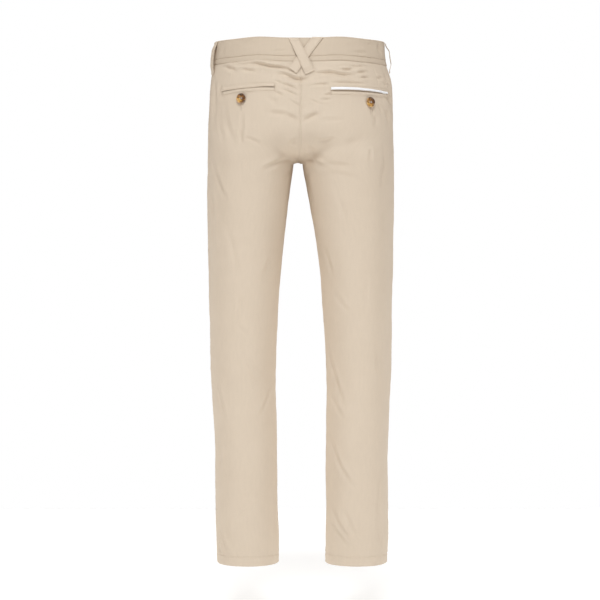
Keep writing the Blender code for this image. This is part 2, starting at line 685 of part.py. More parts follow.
def add_waist_ring(name, top, bottom, proud, rows, recipe):
    """A band round the waist whose left end stands out over its right end."""
    angle = waist_angles()[None, :]
    share = np.linspace(0, 1, rows)[:, None]
    z = bottom + share * (top - bottom) + edge_lift(angle)
    wall = PANEL_WALL + proud
    lap = wall + 2 * GAP
    distance = (angle - angle[0, 0]) * read(BODY, "half_width", 0.0)
    flat = LAP_WIDTH + UNDERLAP + LAP_REST
    lapped = lap * (1 - smooth((distance - flat) / LAP_RETURN))
    outer = hip_point(angle, z, proud + lapped)
    inner = hip_point(angle, z, lapped - PANEL_WALL)
    add_wall(name, outer, inner, recipe)


def loop_seat(z):
    """How far a loop's inner face stands out so that it clears the band, strip and panel."""
    heights = (STRIP_BOTTOM - LOOP_STEP, BAND_BOTTOM - STRIP_HEIGHT / 4)
    return np.interp(z, heights, (LOOP_ON_PANEL, LOOP_ON_BAND))


def add_cross_loop(name, top, bottom, level, over):
    """One of the crossed loops, over the other where they meet if over is 1."""
    top, bottom = np.array(top), np.array(bottom)
    run = bottom - top
    length = np.linalg.norm(run)
    side = np.array((-run[1], run[0])) / length
    share = np.linspace(0, 1, 17)[:, None]
    w = np.linspace(-0.5, 0.5, 4)[None, :] * np.interp(share, (0, 1), CROSS_WIDTHS)
    start = (level - top[1] - w[:1] * side[1]) / run[1]
    t = start + share * (1 - start)
    x = top[0] + t * run[0] + w * side[0]
    z = top[1] + t * run[1] + w * side[1]
    from_crossing = np.abs(t - CROSSING_SHARE) * length
    fall = smooth((from_crossing - CROSSING_FLAT) / CROSSING_FALL)
    climb = over * (LOOP_WALL + 1.5 * GAP) * (1 - fall)
    seat = loop_seat(z) + climb
    angle = back_angle(x, z)
    add_wall(name, hip_point(angle, z, seat + LOOP_WALL), hip_point(angle, z, seat), CLOTH)


def add_upright_loop(name, degrees, top, bottom, stand_off):
    """A belt loop sewn down at its two ends and standing off the band between them."""
    t = np.linspace(0, 1, 13)[:, None]
    centre = math.radians(degrees)
    z = top + t * (bottom - top)
    ahead = hip_ring(centre + 0.01, z[:, 0]) - hip_ring(centre - 0.01, z[:, 0])
    speed = np.linalg.norm(ahead, axis=-1)[:, None] / 0.02
    angle = centre + np.linspace(-0.5, 0.5, 3)[None, :] * LOOP_WIDTH / speed
    bulge = stand_off * smooth(t / LOOP_BEND) * smooth((1 - t) / LOOP_BEND)
    seat = loop_seat(z) + bulge + 0 * angle
    z = z + 0 * angle
    add_wall(name, hip_point(angle, z, seat + LOOP_WALL), hip_point(angle, z, seat), CLOTH)


# ---------------------------------------------------------------- back pockets and buttons


def add_welts(name, inner_end, outer_end, bow):
    """The two welts of a back pocket, above and below its opening."""
    t = np.linspace(0, 1, 15)[None, :]
    first, last = back_angle(*np.array(inner_end)), back_angle(*np.array(outer_end))
    line = inner_end[1] + t * (outer_end[1] - inner_end[1]) + bow * 4 * t * (1 - t)
    for _, part, lip, edge in (row for row in WELTS if row[0] == name):
        z = line + np.concatenate([np.interp(t, WELT_SHARES, lip), np.interp(t, WELT_SHARES, edge)])
        angle = first + t * (last - first) + 0 * z
        recipe = WHITE_CLOTH if (part, name) == ("upper", "right") else CLOTH
        outer = hip_point(angle, z, GAP + WELT_WALL)
        add_wall(f"back_welt_{part}_{name}", outer, hip_point(angle, z, GAP), recipe)


def add_button(name, seat, normal, radius):
    """A turned button with a raised rim round a dished face, its back on the seat."""
    rim = radius - BUTTON_RIM
    profile = (
        (radius * 0.80, 0.0),
        (radius, BUTTON_THICK * 0.45),
        (radius * 0.97, BUTTON_THICK * 0.80),
        (radius - BUTTON_RIM * 0.5, BUTTON_THICK),
        (rim, BUTTON_THICK - BUTTON_DISH * 0.6),
        (rim * 0.6, BUTTON_THICK - BUTTON_DISH),
    )
    sides = 20
    points = [(0, 0, 0), (0, 0, BUTTON_THICK - BUTTON_DISH)]
    for ring_radius, height in profile:
        for i in range(sides):
            turn = 2 * math.pi * i / sides
            points.append((ring_radius * math.cos(turn), ring_radius * math.sin(turn), height))
    ring = [[2 + row * sides + i for i in range(sides)] for row in range(len(profile))]
    faces = []
    for i in range(sides):
        j = (i + 1) % sides
        faces += [(0, ring[0][j], ring[0][i]), (1, ring[-1][i], ring[-1][j])]
        for low, high in zip(ring, ring[1:]):
            faces += [(low[i], low[j], high[j]), (low[i], high[j], high[i])]
    made = add_object(name, points, faces, HORN)
    turned = Vector(normal).to_track_quat("Z", "Y").to_matrix().to_4x4()
    made.matrix_world = Matrix.Translation(Vector(seat)) @ turned
    return made


def add_back_button(name, x, z):
    """A button on the back's outer face."""
    angle = back_angle(np.array(x), np.array(z))
    seat = hip_point(angle, z, BUTTON_CLEAR)
    normal = unit(hip_point(angle, z, 1.0) - hip_point(angle, z, 0.0))
    add_button(name, seat, normal, BUTTON_RADIUS)


def add_waist_button():
    """The button that holds the lapped end of the band."""
    angle = np.array(-math.pi / 2)
    z = -FRONT_DIP
    out = BAND_PROUD + PANEL_WALL + BAND_PROUD + 2 * GAP + BUTTON_CLEAR
    normal = unit(hip_point(angle, z, 1.0) - hip_point(angle, z, 0.0))
    add_button("button_waist", hip_point(angle, z, out), normal, WAIST_BUTTON_RADIUS)


# ---------------------------------------------------------------- the garment


def build():
    """Clear the scene and make every piece of the trousers."""
    for old in list(bpy.data.objects):
        bpy.data.objects.remove(old, do_unlink=True)
    garment = bpy.data.objects.new("trousers", None)
    bpy.context.scene.collection.objects.link(garment)

    panels = make_panels()
    add_panels(panels)
    for side in (1, -1):
        add_side_piece(side, panels[side, -1], panels[side, 1])
        add_bags(side, panels[side, -1], panels[side, 1])
    add_fly()

    add_waist_ring("waistband", BAND_TOP, BAND_BOTTOM, BAND_PROUD, 3, CLOTH)
    add_waist_ring("waist_strip", STRIP_TOP, STRIP_BOTTOM, STRIP_PROUD, 2, CLOTH)
    for loop in CROSS_LOOPS:
        add_cross_loop(*loop)
    for loop in UPRIGHT_LOOPS:
        add_upright_loop(*loop)

    for pocket in POCKETS:
        add_welts(*pocket)
    for button in BACK_BUTTONS:
        add_back_button(*button)
    add_waist_button()


build()
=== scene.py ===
"""Looks of the casual trousers: thin cloth shells with creases and seams, stitching and buttons.

Metres, +Z up. The front faces -Y and the wearer's left is +X. Heights count from the middle of the
waistband, and angles round the hips from the wearer's left side through the back.
"""

import math

import bpy
import numpy as np
from mathutils import Matrix, Vector


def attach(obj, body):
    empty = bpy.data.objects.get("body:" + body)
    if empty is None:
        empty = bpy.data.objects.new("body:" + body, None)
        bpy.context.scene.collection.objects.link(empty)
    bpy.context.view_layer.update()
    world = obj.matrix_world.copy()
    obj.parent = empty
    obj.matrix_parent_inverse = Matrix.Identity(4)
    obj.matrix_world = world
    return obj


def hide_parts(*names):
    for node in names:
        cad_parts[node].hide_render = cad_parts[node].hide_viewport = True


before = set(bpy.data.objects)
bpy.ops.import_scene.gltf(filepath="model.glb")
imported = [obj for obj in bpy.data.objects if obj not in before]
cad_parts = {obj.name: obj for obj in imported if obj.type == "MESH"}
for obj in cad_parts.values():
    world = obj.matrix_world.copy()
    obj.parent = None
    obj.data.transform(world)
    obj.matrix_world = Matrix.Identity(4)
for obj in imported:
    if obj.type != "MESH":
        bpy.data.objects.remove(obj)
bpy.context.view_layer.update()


# ---------------------------------------------------------------- sizes shared with the frame

SIDES = ((1, "left"), (-1, "right"))

# Heights
BAND_TOP = 0.018
BAND_BOTTOM = -0.018
STRIP_TOP = -0.0183
STRIP_BOTTOM = -0.0273
PANEL_TOP = -0.0276
SEAT_Z = -0.146  # top of the crotch curve: the body is one ring from here up
FORK_Z = -0.2196  # where the four panels meet between the legs
LEG_TOP = FORK_Z - 0.010  # where the side seam passes from the leg to the seat
HEM_Z = -1.018
SIDE_STATIONS = (-1, 0, 1, 2)
SIDE_HEIGHTS = (HEM_Z, LEG_TOP, SEAT_Z, PANEL_TOP)  # of the side seam at these stations

# The crotch
ARCH_RISE = 0.003  # height of the small flat arch between the legs
FORK_S = 0.07  # station of the fork, between 0 (top of the leg) and 1 (SEAT_Z)
PULL_FROM = 0.80  # share of the panel's width past which the cloth turns in to the fork
SEAT_LAG = 1.6  # how much later the outer part of a panel leaves the leg's shape
INNER_REACH = 4  # a higher power keeps the crotch curve's fall closer to the centre seam
CROTCH_ROUNDNESS = 2.3  # of the crotch curve as seen from the side

# Edges of the waist and the hem
BACK_WAVE = 0.003  # the waist line rises this much on each side of the centre back
BACK_WAVE_X = 0.080
BACK_WAVE_WIDTH = 0.035
FRONT_DIP = 0.008  # the waist line is cut this much lower at the centre front
HEM_DIP = 0.002  # the hem hangs this much lower at the back

# The left front laps over the right front, whose edge is set back to clear the zip
FLY_BOTTOM_Z = -0.162
FLY_TAPER = 0.016  # height over which the lap comes out of the centre seam
LAP_WIDTH = 0.014
LAP_PROFILE = (0.0, 0.010, 0.044, 0.068)  # distances from the lap's edge
LAP_OUT = (0.0020, 0.0034, 0.0034, 0.0)  # how far the left front stands out there
RIGHT_SETBACK = 0.008
UNDERLAP = 0.028  # how far the right end of the band runs under the left end
LAP_REST = 0.006  # how much further round the left end goes on standing out
LAP_RETURN = 0.022  # length over which it comes back to the body
BAND_LAP = 0.0031  # how far the left end stands out over the right end

# The slanted mouths of the front pockets
MOUTH_SET = 0.042  # distance of the mouth's top from the side seam
MOUTH_LOW_Z = -0.182
QUARTER_ARC = 0.239  # a quarter of the hips' girth
CENTRE_REACH = 0.281  # how far x moves for a unit of u at the centre seams


def levels(columns, *rows):
    """Named columns of a short table whose rows run from the top down."""
    return dict(zip(columns, np.array(rows)[::-1].T))


BODY = levels(
    ("z", "half_width", "sway", "front", "back", "roundness"),
    (0.0200, 0.1682, 0.0022, 0.103, 0.121, 2.20),
    (0.0034, 0.1689, 0.0030, 0.104, 0.123, 2.20),
    (-0.0180, 0.1712, 0.0031, 0.106, 0.126, 2.22),
    (-0.0366, 0.1750, 0.0016, 0.108, 0.129, 2.25),
    (-0.0566, 0.1794, -0.0002, 0.110, 0.132, 2.30),
    (-0.0766, 0.1816, -0.0005, 0.112, 0.135, 2.36),
    (-0.0966, 0.1822, -0.0004, 0.114, 0.137, 2.44),
    (-0.1366, 0.1832, 0.0000, 0.115, 0.138, 2.60),
    (-0.1766, 0.1840, 0.0001, 0.114, 0.138, 2.70),
    (-0.2266, 0.1849, 0.0002, 0.110, 0.134, 2.70),
    (-0.3166, 0.1860, 0.0003, 0.100, 0.110, 2.70),
    (-0.3766, 0.1852, 0.0003, 0.100, 0.110, 2.70),
    (-0.4966, 0.1829, 0.0003, 0.100, 0.110, 2.70),
    (-0.6466, 0.1798, -0.0002, 0.100, 0.110, 2.70),
    (-0.7366, 0.1756, -0.0010, 0.100, 0.110, 2.70),
    (-0.7966, 0.1731, -0.0014, 0.100, 0.110, 2.70),
    (-0.9166, 0.1728, -0.0020, 0.100, 0.110, 2.70),
    (-0.9766, 0.1723, -0.0024, 0.100, 0.110, 2.70),
    (-1.0200, 0.1706, -0.0024, 0.100, 0.110, 2.70),
)
LEG = levels(
    ("z", "gap", "gap_shift", "front", "back", "roundness"),
    (-0.1300, 0.0093, 0.0000, 0.148, 0.156, 2.50),
    (-0.1700, 0.0093, 0.0025, 0.130, 0.142, 2.50),
    (-0.2226, 0.0094, 0.0055, 0.105, 0.122, 2.45),
    (-0.2566, 0.0147, 0.0046, 0.101, 0.114, 2.40),
    (-0.3166, 0.0236, 0.0031, 0.096, 0.104, 2.30),
    (-0.3766, 0.0322, 0.0013, 0.092, 0.095, 2.22),
    (-0.4366, 0.0392, 0.0003, 0.088, 0.087, 2.16),
    (-0.4966, 0.0432, 0.0001, 0.084, 0.080, 2.12),
    (-0.5566, 0.0469, 0.0000, 0.080, 0.074, 2.10),
    (-0.6466, 0.0509, 0.0000, 0.075, 0.067, 2.10),
    (-0.7366, 0.0494, 0.0000, 0.069, 0.064, 2.10),
    (-0.7966, 0.0487, 0.0000, 0.065, 0.063, 2.10),
    (-0.9166, 0.0486, 0.0000, 0.058, 0.062, 2.10),
    (-0.9766, 0.0468, 0.0000, 0.056, 0.062, 2.10),
    (-1.0200, 0.0462, 0.0000, 0.054, 0.062, 2.10),
)
TURNS = levels(
    ("z", "left_side", "left_inseam", "right_side", "right_inseam"),
    (0.0200, 0.28, 0.00, 0.14, 0.00),
    (-0.1300, 0.26, 0.00, 0.12, 0.00),
    (-0.2196, 0.20, 0.00, 0.08, 0.00),
    (-0.2700, 0.16, -0.04, 0.06, 0.28),
    (-0.3200, 0.12, -0.04, 0.04, 0.34),
    (-0.5000, 0.08, 0.00, 0.00, 0.22),
    (-1.0200, 0.05, 0.00, 0.00, 0.12),
)


# Belt loops: x and z of the crossed loops' upper and lower ends, which of them lies on top, and the
# height where it is cut off at the band's top; the upright loops' angle in degrees, ends in height,
# and how far their middle stands off
LOOP_WIDTH = 0.016
CROSS_WIDTHS = (0.0170, 0.0198)  # at the top and at the foot
CROSS_LOOPS = (
    ("loop_cross_under", (-0.0306, 0.0160), (0.0166, -0.0470), 0.0, 0.0188),
    ("loop_cross_upper", (0.0121, 0.0122), (-0.0176, -0.0508), 1.0, 0.0158),
)
UPRIGHT_LOOPS = (
    ("loop_side_left", 17.0, 0.0160, -0.0480, 0.0045),
    ("loop_side_right", 178.5, 0.0160, -0.0430, 0.0080),
    ("loop_front_left", -59.0, 0.0110, -0.0510, 0.0030),
    ("loop_front_right", -121.0, 0.0110, -0.0510, 0.0030),
)

# Back pockets: the opening line's inner and outer ends, and how far it bows up
POCKETS = {
    "left": ((0.0501, -0.0795), (0.1541, -0.0848), 0.0027),
    "right": ((-0.0583, -0.0868), (-0.1690, -0.0877), 0.0010),
}
# Heights of each welt's lip and of its sewn edge over the opening line, from the pocket's inner end
WELT_SHARES = (0, 0.10, 0.24, 0.40, 0.70, 0.84, 0.93, 1)
WELTS = {
    ("upper", "left"): (
        (0.0016, 0.0018, 0.0014, 0.0002, 0.0000, 0.0002, 0.0002, -0.0008),
        (0.0078, 0.0080, 0.0078, 0.0072, 0.0070, 0.0070, 0.0070, 0.0066),
    ),
    ("lower", "left"): (
        (0.0001, 0.0001, 0.0001, -0.0002, -0.0004, -0.0008, -0.0012, -0.0022),
        (-0.0062, -0.0064, -0.0066, -0.0068, -0.0068, -0.0070, -0.0074, -0.0078),
    ),
    ("upper", "right"): (
        (0.0034, 0.0036, 0.0034, 0.0031, 0.0024, 0.0014, 0.0004, -0.0002),
        (0.0084, 0.0086, 0.0085, 0.0081, 0.0068, 0.0056, 0.0046, 0.0038),
    ),
    ("lower", "right"): (
        (0.0002, 0.0001, -0.0001, -0.0003, -0.0007, -0.0009, -0.0011, -0.0012),
        (-0.0060, -0.0064, -0.0066, -0.0068, -0.0070, -0.0070, -0.0070, -0.0068),
    ),
}

# Buttons
BUTTON_RADIUS = 0.0097
WAIST_BUTTON_RADIUS = 0.0085
BUTTON_THICK = 0.0036
BUTTON_DISH = 0.0012  # how far the face lies below the rim
BUTTON_GAP = 0.0008  # between a button and the back below it
WAIST_BUTTON_OUT = 0.0049  # how far the waist button's back stands out from the hips
RIM_PLACE, HOLE_PLACE, HOLE_SIZE = 0.77, 0.19, 0.085  # as shares of the radius
HOLE_DEPTH = 0.0020
BUNDLE = (-0.00028, 0.0, 0.00028)  # how far aside each thread of a bundle lies
BUNDLE_RADIUS = 0.00020  # of each thread
BACK_BUTTONS = (  # the left one and the right one
    ("button_back_left", 0.1149, -0.0995),
    ("button_back_right", -0.1340, -0.1064),
)

# Buttonholes
SLIT = 0.0006  # half the slit's width
BUTTONHOLE = 0.0150
BUTTONHOLE_DROP = 0.0165  # how far its middle lies below the button's
WAIST_BUTTONHOLE = 0.0180
WAIST_HOLE_ASIDE = 0.0085


# ---------------------------------------------------------------- cloth of the visual model

PANEL_WALL = 0.0011
HEM_WALL = 0.0026
HEM_HEIGHT = 0.018
HEM_STEP = 0.002  # height over which the wall thins again above the hem
SEAM_DEPTH = 0.0009  # how far a seam sinks between the pieces it joins
SEAM_WIDTH = 0.0017
PUCKER_DEPTH, PUCKER_PITCH, PUCKER_WIDTH = 0.00022, 0.0085, 0.0075  # of the cloth beside a seam
HEM_SINK, HEM_SINK_WIDTH = 0.0009, 0.0016  # along the hem's stitches
ROPE_DEPTH, ROPE_PITCH, ROPE_WIDTH = 0.00028, 0.0125, 0.009  # of the hem's twisted folds
TUCK = 0.0016  # how far a panel's top edge reaches up behind the strip
TUCK_DEPTH = 0.0006
STRIP_OVERHANG = 0.0009  # how far the strip's lower edge hangs over that edge
BAND_PROUD = 0.0010  # how far the waistband stands out from the panels' outer face
STRIP_PROUD = 0.0005
BAND_WALL = 0.0024
STRIP_WALL = 0.0016
CROSS_WALL = 0.0015
UPRIGHT_WALL = 0.0012
BAND_RIPPLE, BAND_RIPPLE_PITCH = 0.00014, 0.0072
BAND_GROOVE = 0.00030  # along the band's lower row of stitches
LOOP_GROOVE = 0.00025  # along a loop's stitches
LOOP_FOLD = 0.0006  # how far the folded ends of a loop stand out
LOOP_RIB, LOOP_RIB_PITCH = 0.00010, 0.0026  # of the lower crossed loop
CROSSING = 0.53  # share of the upper crossed loop's length where it crosses the other
CROSSING_LIFT, CROSSING_REACH, CROSSING_FALL = 0.00175, 0.019, 0.012  # of its rise over it
HOLLOW_DEPTH, HOLLOW_WIDTH = 0.0042, 0.0026  # of a back along its pocket's opening
WELT_RISE = 0.0014
WELT_ROLL = 0.0010  # how far a welt's lip rolls in
SIDE_PIECE_WALL = 0.0008
WELT_WALL = 0.0011

# Pocket bags: the panel that each lies in, the shares of its width, and the gap behind it
BAG_WALL = 0.0007
BAG_BOTTOM = -0.195
BAGS = (
    ("back", 1, 0.21, 0.78, 0.0006),
    ("front", -1, 0.02, 0.60, 0.0024),
)

# Darts: their place as a share of the back's width from the side seam, their foot and their depth
DARTS = {"left": (0.39, -0.0780, 0.0006), "right": (0.37, -0.0820, 0.0007)}
DART_WIDTH = 0.0038

# Stitches, and the distances at which rows of them run
THREAD = 0.00022  # a stitch's radius
STITCH = 0.0023
STITCH_PITCH = 0.0031
HEM_ROW = 0.017
INSEAM_ROW = 0.0032
CENTRE_ROW = 0.0028
MOUTH_ROWS = (0.0020, 0.0075)
FLY_ROWS = (0.0240, 0.0185)  # from the centre seam
FLY_BEND = 0.040  # height over which they curve in to it
LOOP_ROW = 0.0020
BAND_ROWS = (0.07, 0.94)  # shares of the band's height
STRIP_ROW = 0.16
POCKET_ROWS = (-0.0090, 0.0104)  # below and above a back pocket's opening
INNER_BARS = (-0.0016, -0.0008)  # places of the bars' rows, past the opening's ends
OUTER_BARS = (0.0012, 0.0020)
BAR_HALF, BAR_LIFT = 0.0085, 0.0014

# Zip
TAPE_HALF, TAPE_DEPTH, TAPE_WALL = 0.012, 0.0027, 0.0007
SHIELD_HALF, SHIELD_DEPTH, SHIELD_WALL = 0.026, 0.0038, 0.0011
TEETH_DEPTH = 0.0025
TOOTH_PITCH = 0.0011
TOOTH = (0.0026, 0.0008, 0.0013)  # across, along and through the tape
TOOTH_SHIFT = 0.0009  # each tooth lies this far to the other side of the line


# Creases, in millimetres: a trough's half width and depth, the share of its depth to which the cloth
# is raised on its upper side, and the points x, z that it passes through
BACK_CREASES = (
    # the drag lines that run from the hips to the crossed loops
    (3, 4.5, 0.6, 114, -31, 83, -32, 63, -38, 41, -40, 29, -43, 18, -49, 4, -53),
    (3, 2.4, 0.5, 122, -45, 111, -43, 95, -46, 83, -49),
    (3.8, 3.1, 0.5, 154, -35, 140, -39, 123, -46),
    (3.8, 4.6, 0.6, 50, -56, 33, -53, 25, -57, 15, -62, 3, -65, -10, -64, -24, -58),
    (2.4, 2.0, 0.5, 50, -66, 39, -71),
    (2.8, 2.3, 0.5, 51, -87, 42, -92, 33, -97),
    (4.4, 1.5, 0.4, 68, -98, 56, -104, 44, -112),
    (4.4, 2.4, 0.5, 66, -128, 42, -130, 23, -132),
    (5.5, 3.4, 0.5, 31, -131, 17, -139, 4, -145),
    (3.5, 3.4, 0.6, 168, -60, 169, -100, 170, -158),
    (3, 2.0, 0.5, 157, -68, 155, -98),
    (5, 1.3, 0.4, 158, -112, 149, -146, 134, -182),
    (3.2, 2.6, 0.5, 118, -156, 115, -188),
    (3.4, 1.6, 0.5, 110, -176, 91, -181, 78, -190),
    (2.6, 2.0, 0.5, 44, -71, 22, -76, 4, -86),
    (2.6, 1.9, 0.5, 37, -82, 14, -92, 2, -98),
    (2.4, 1.5, 0.4, 22, -105, 8, -112, -3, -118),
    (2.6, 1.2, 0.5, 134, -34, 112, -33, 92, -35),
    (2.6, 2.6, 0.4, 115, -122, 114, -150, 115, -184),
    (4, 1.4, 0.4, 163, -108, 156, -158, 148, -200),
    (4, 1.2, 0.4, 151, -96, 143, -146, 129, -184),
    (3.2, 2.5, 0.5, 176, -206, 168, -240, 152, -279),
    (3, 2.4, 0.5, 178, -262, 174, -312, 170, -352),
    # the right hip
    (2.4, 1.7, 0.5, -14, -76, -36, -73, -60, -71),
    (2.4, 1.7, 0.5, -60, -40, -84, -36, -112, -38, -140, -34),
    (2.4, 1.5, 0.4, -16, -101, -32, -110, -50, -112),
    (2.6, 2.4, 0.5, -160, -34, -172, -62, -175, -96),
    (3, 2.4, 0.5, -156, -98, -169, -130, -175, -162),
    (3.2, 2.4, 0.5, -160, -176, -165, -226, -160, -270),
    (3.3, 3.9, 0.6, -18, -57, -30, -52, -43, -51, -61, -50, -71, -53, -90, -55, -112, -55),
    (2.6, 3.4, 0.6, -72, -42, -86, -44, -99, -43, -104, -38),
    (2.2, 2.6, 0.5, -117, -29, -121, -39),
    (2.5, 3.0, 0.6, -106, -51, -119, -47, -130, -49),
    (2.4, 2.3, 0.5, -112, -58, -134, -59),
    (2.6, 2.2, 0.6, -48, -69, -76, -70, -119, -70, -137, -72),
    (2.6, 1.9, 0.5, -38, -74, -57, -75),
    (2.2, 2.2, 0.5, -46, -94, -60, -92),
    (2.6, 2.2, 0.5, -34, -104, -47, -103, -60, -101),
    (3, 2.2, 0.5, -146, -59, -163, -56),
    (2.6, 3.0, 0.5, -163, -64, -169, -74),
    (2.8, 3.5, 0.5, -162, -85, -174, -103, -178, -109),
    (3.6, 3.1, 0.5, -148, -104, -158, -119, -162, -133),
    (2.4, 2.2, 0.5, -140, -118, -141, -138),
    (3, 2.0, 0.5, -146, -126, -145, -156),
    (2.8, 2.3, 0.5, -167, -118, -173, -141),
    # the seat and the crotch
    (5, 3.9, 0.5, -2, -147, -12, -141, -24, -134, -40, -130),
    (4.2, 1.2, 0.4, -30, -143, -60, -142, -92, -140),
    (4, 2.3, 0.4, 26, -192, 15, -184, 5, -180),
    (5, 1.5, 0.4, 25, -203, 9, -189),
    (4.2, 2.7, 0.6, 77, -245, 70, -236, 56, -228, 39, -221, 23, -216, 9, -208),
    (2.6, 1.9, 0.5, 32, -250, 20, -235),
    (5, 2.2, 0.5, -3, -184, -20, -200, -38, -215, -57, -226),
    (4.6, 2.6, 0.5, -7, -203, -28, -224, -52, -235),
    (3, 1.8, 0.4, -24, -180, -44, -184, -66, -176),
    (4.6, 1.6, 0.4, -44, -226, -70, -229, -104, -232),
    (5, 1.5, 0.4, -50, -244, -80, -247, -116, -256),
    (8, 1.9, 0.3, -80, -193, -106, -185, -125, -175),
    (3.2, 2.2, 0.6, -135, -194, -136, -226),
    (4.2, 2.6, 0.5, -158, -230, -160, -270),
    (3.2, 2.6, 0.6, -9, -230, -13, -250, -21, -300),
    # the wearer's left leg
    (3.2, 2.1, 0.6, 168, -250, 158, -271, 150, -284, 145, -300),
    (2.8, 1.9, 0.5, 176, -286, 172, -306, 169, -330),
    (3, 1.9, 0.5, 175, -340, 172, -366, 170, -396),
    (4.5, 1.3, 0.4, 150, -340, 138, -373, 130, -405, 127, -440),
    (3.2, 1.2, 0.4, 57, -402, 66, -426, 74, -452),
    (3.4, 1.3, 0.4, 123, -474, 121, -505, 124, -536),
    (3.4, 1.2, 0.4, 126, -538, 114, -556, 98, -566),
    (4.2, 1.9, 0.5, 112, -604, 99, -632, 84, -647, 68, -650),
    (3.2, 2.0, 0.6, 171, -636, 164, -676, 154, -712, 150, -730),
    (3.2, 2.0, 0.5, 54, -652, 64, -684, 73, -706, 84, -728),
    (3, 1.7, 0.5, 51, -758, 56, -800, 58, -856),
    (3, 1.6, 0.5, 164, -762, 161, -800, 158, -842),
    (4.5, 1.3, 0.4, 88, -886, 112, -918, 138, -944),
    (3.2, 2.5, 0.7, 166, -936, 158, -966, 146, -996),
    (3, 2.1, 0.6, 169, -968, 164, -984, 157, -1002),
    # the wearer's right leg
    (3.2, 1.7, 0.5, -160, -318, -158, -340, -159, -364),
    (4.8, 1.2, 0.4, -70, -280, -80, -310, -90, -346),
    (3.2, 1.8, 0.5, -47, -386, -53, -412, -62, -446),
    (3.4, 1.3, 0.4, -128, -440, -130, -470, -127, -500),
    (3.6, 1.5, 0.5, -66, -480, -80, -500, -98, -518),
    (4.2, 2.0, 0.5, -147, -586, -153, -616, -158, -646),
    (3.4, 2.5, 0.5, -53, -588, -62, -628, -72, -662, -84, -698),
    (3, 1.7, 0.5, -56, -672, -68, -700, -86, -730),
    (3.4, 2.4, 0.5, -57, -762, -72, -814, -92, -846, -116, -874),
    (3.2, 2.3, 0.5, -55, -888, -72, -934, -92, -962, -114, -984),
    (3.2, 2.3, 0.5, -53, -930, -76, -960, -100, -986),
    (3.4, 2.0, 0.5, -82, -904, -102, -948, -124, -978),
    (3.2, 2.0, 0.4, -160, -820, -156, -890, -152, -950),
    (3.2, 2.0, 0.5, -152, -946, -158, -968, -166, -994),
)
FRONT_CREASES = (
    (3.5, 2.4, 0.6, 18, -152, 40, -143, 70, -132, 104, -126),
    (3.0, 1.8, 0.5, 30, -174, 52, -163, 84, -154),
    (3.6, 2.7, 0.6, 8, -197, 34, -188, 63, -171, 96, -163),
    (3.2, 1.9, 0.5, 26, -209, 58, -203, 90, -190),
    (3.7, 2.6, 0.6, -13, -190, -40, -181, -72, -165, -112, -158),
    (3.0, 2.0, 0.5, -26, -168, -48, -155, -80, -141),
    (3.3, 2.3, 0.5, -10, -206, -38, -201, -70, -188),
    (3.0, 1.9, 0.5, 62, -40, 76, -58, 83, -86),
    (3.0, 1.5, 0.4, 95, -38, 99, -58, 98, -88),
    (3.0, 1.9, 0.5, -66, -41, -81, -60, -88, -90),
    (2.8, 1.6, 0.4, -30, -40, -44, -56, -52, -80),
    (4.2, 2.2, 0.5, 152, -108, 139, -141, 127, -178),
    (4.0, 2.1, 0.5, -154, -104, -143, -140, -133, -170),
    (4.5, 2.3, 0.5, 166, -200, 150, -226, 126, -246),
    (4.5, 2.5, 0.5, -168, -190, -150, -221, -122, -240),
    (5.5, 2.3, 0.5, 20, -236, 51, -246, 80, -262),
    (5.5, 2.5, 0.5, -22, -238, -49, -250, -78, -256),
    (4.5, 1.4, 0.4, 108, -322, 104, -370, 108, -430),
    (4.5, 1.4, 0.4, -108, -344, -114, -396, -112, -446),
    (3.4, 1.5, 0.5, 160, -330, 152, -372, 148, -410),
    (3.4, 1.5, 0.5, -162, -352, -154, -392, -150, -428),
    (3.8, 2.2, 0.5, 154, -600, 136, -622, 112, -636, 90, -640),
    (3.8, 2.3, 0.5, -152, -596, -134, -618, -110, -634, -86, -636),
    (3.4, 1.8, 0.5, 60, -652, 82, -668, 110, -676),
    (3.4, 1.9, 0.5, -62, -648, -86, -668, -112, -680),
    (3.4, 1.8, 0.5, 152, -676, 132, -698, 104, -716),
    (3.4, 1.9, 0.5, -156, -672, -138, -698, -114, -712),
    (4.2, 1.4, 0.4, 108, -750, 113, -820, 110, -892),
    (4.2, 1.3, 0.4, -112, -770, -108, -830, -114, -884),
    (3.4, 2.2, 0.5, -60, -880, -84, -926, -122, -966),
    (3.4, 2.0, 0.5, 62, -890, 92, -930, 122, -966),
    (3.2, 2.0, 0.5, 150, -920, 134, -958, 112, -992),
    (3.2, 2.0, 0.5, -154, -916, -140, -952, -120, -986),
)
BAND_CREASES = (
    (2.4, 1.4, 0.5, 59, -9, 40, -8, 22, -6),
    (2.8, 1.8, 0.5, -100, -9, -130, -9),
    (3, 1.1, 0.4, -130, 9, -137, 9),
    (3, 1.8, 0.4, -149, 7, -155, -7),
    (5, 1.1, 0.4, 120, 4, 80, 8),
    (3, 2.2, 0.5, -150, 14, -155, -4, -158, -17),
    (3, 1.4, 0.4, 148, 10, 153, -6, 156, -16),
)


# The shares of a crease's depth at its ends and of its length over which it comes to its full depth
CREASE_END = 0.15
CREASE_FADE = 0.40


# ---------------------------------------------------------------- curves


def read(table, column, z):
    """The value of a column at height z, on a smooth curve through the table's rows."""
    heights, values = table["z"], table[column]
    slopes = np.gradient(values, heights)
    z = np.clip(z, heights[0], heights[-1])
    i = np.clip(np.searchsorted(heights, z) - 1, 0, len(heights) - 2)
    step = heights[i + 1] - heights[i]
    t = (z - heights[i]) / step
    rest = 1 - t
    low = (1 + 2 * t) * rest**2 * values[i] + t * rest**2 * step * slopes[i]
    high = t**2 * (3 - 2 * t) * values[i + 1] - t**2 * rest * step * slopes[i + 1]
    return low + high


def smooth(t):
    """An even rise from 0 to 1 with flat ends."""
    t = np.clip(t, 0, 1)
    return t * t * (3 - 2 * t)


def bump(distance, width):
    """A soft hill of height 1 at distance 0."""
    return np.exp(-((distance / width) ** 2))


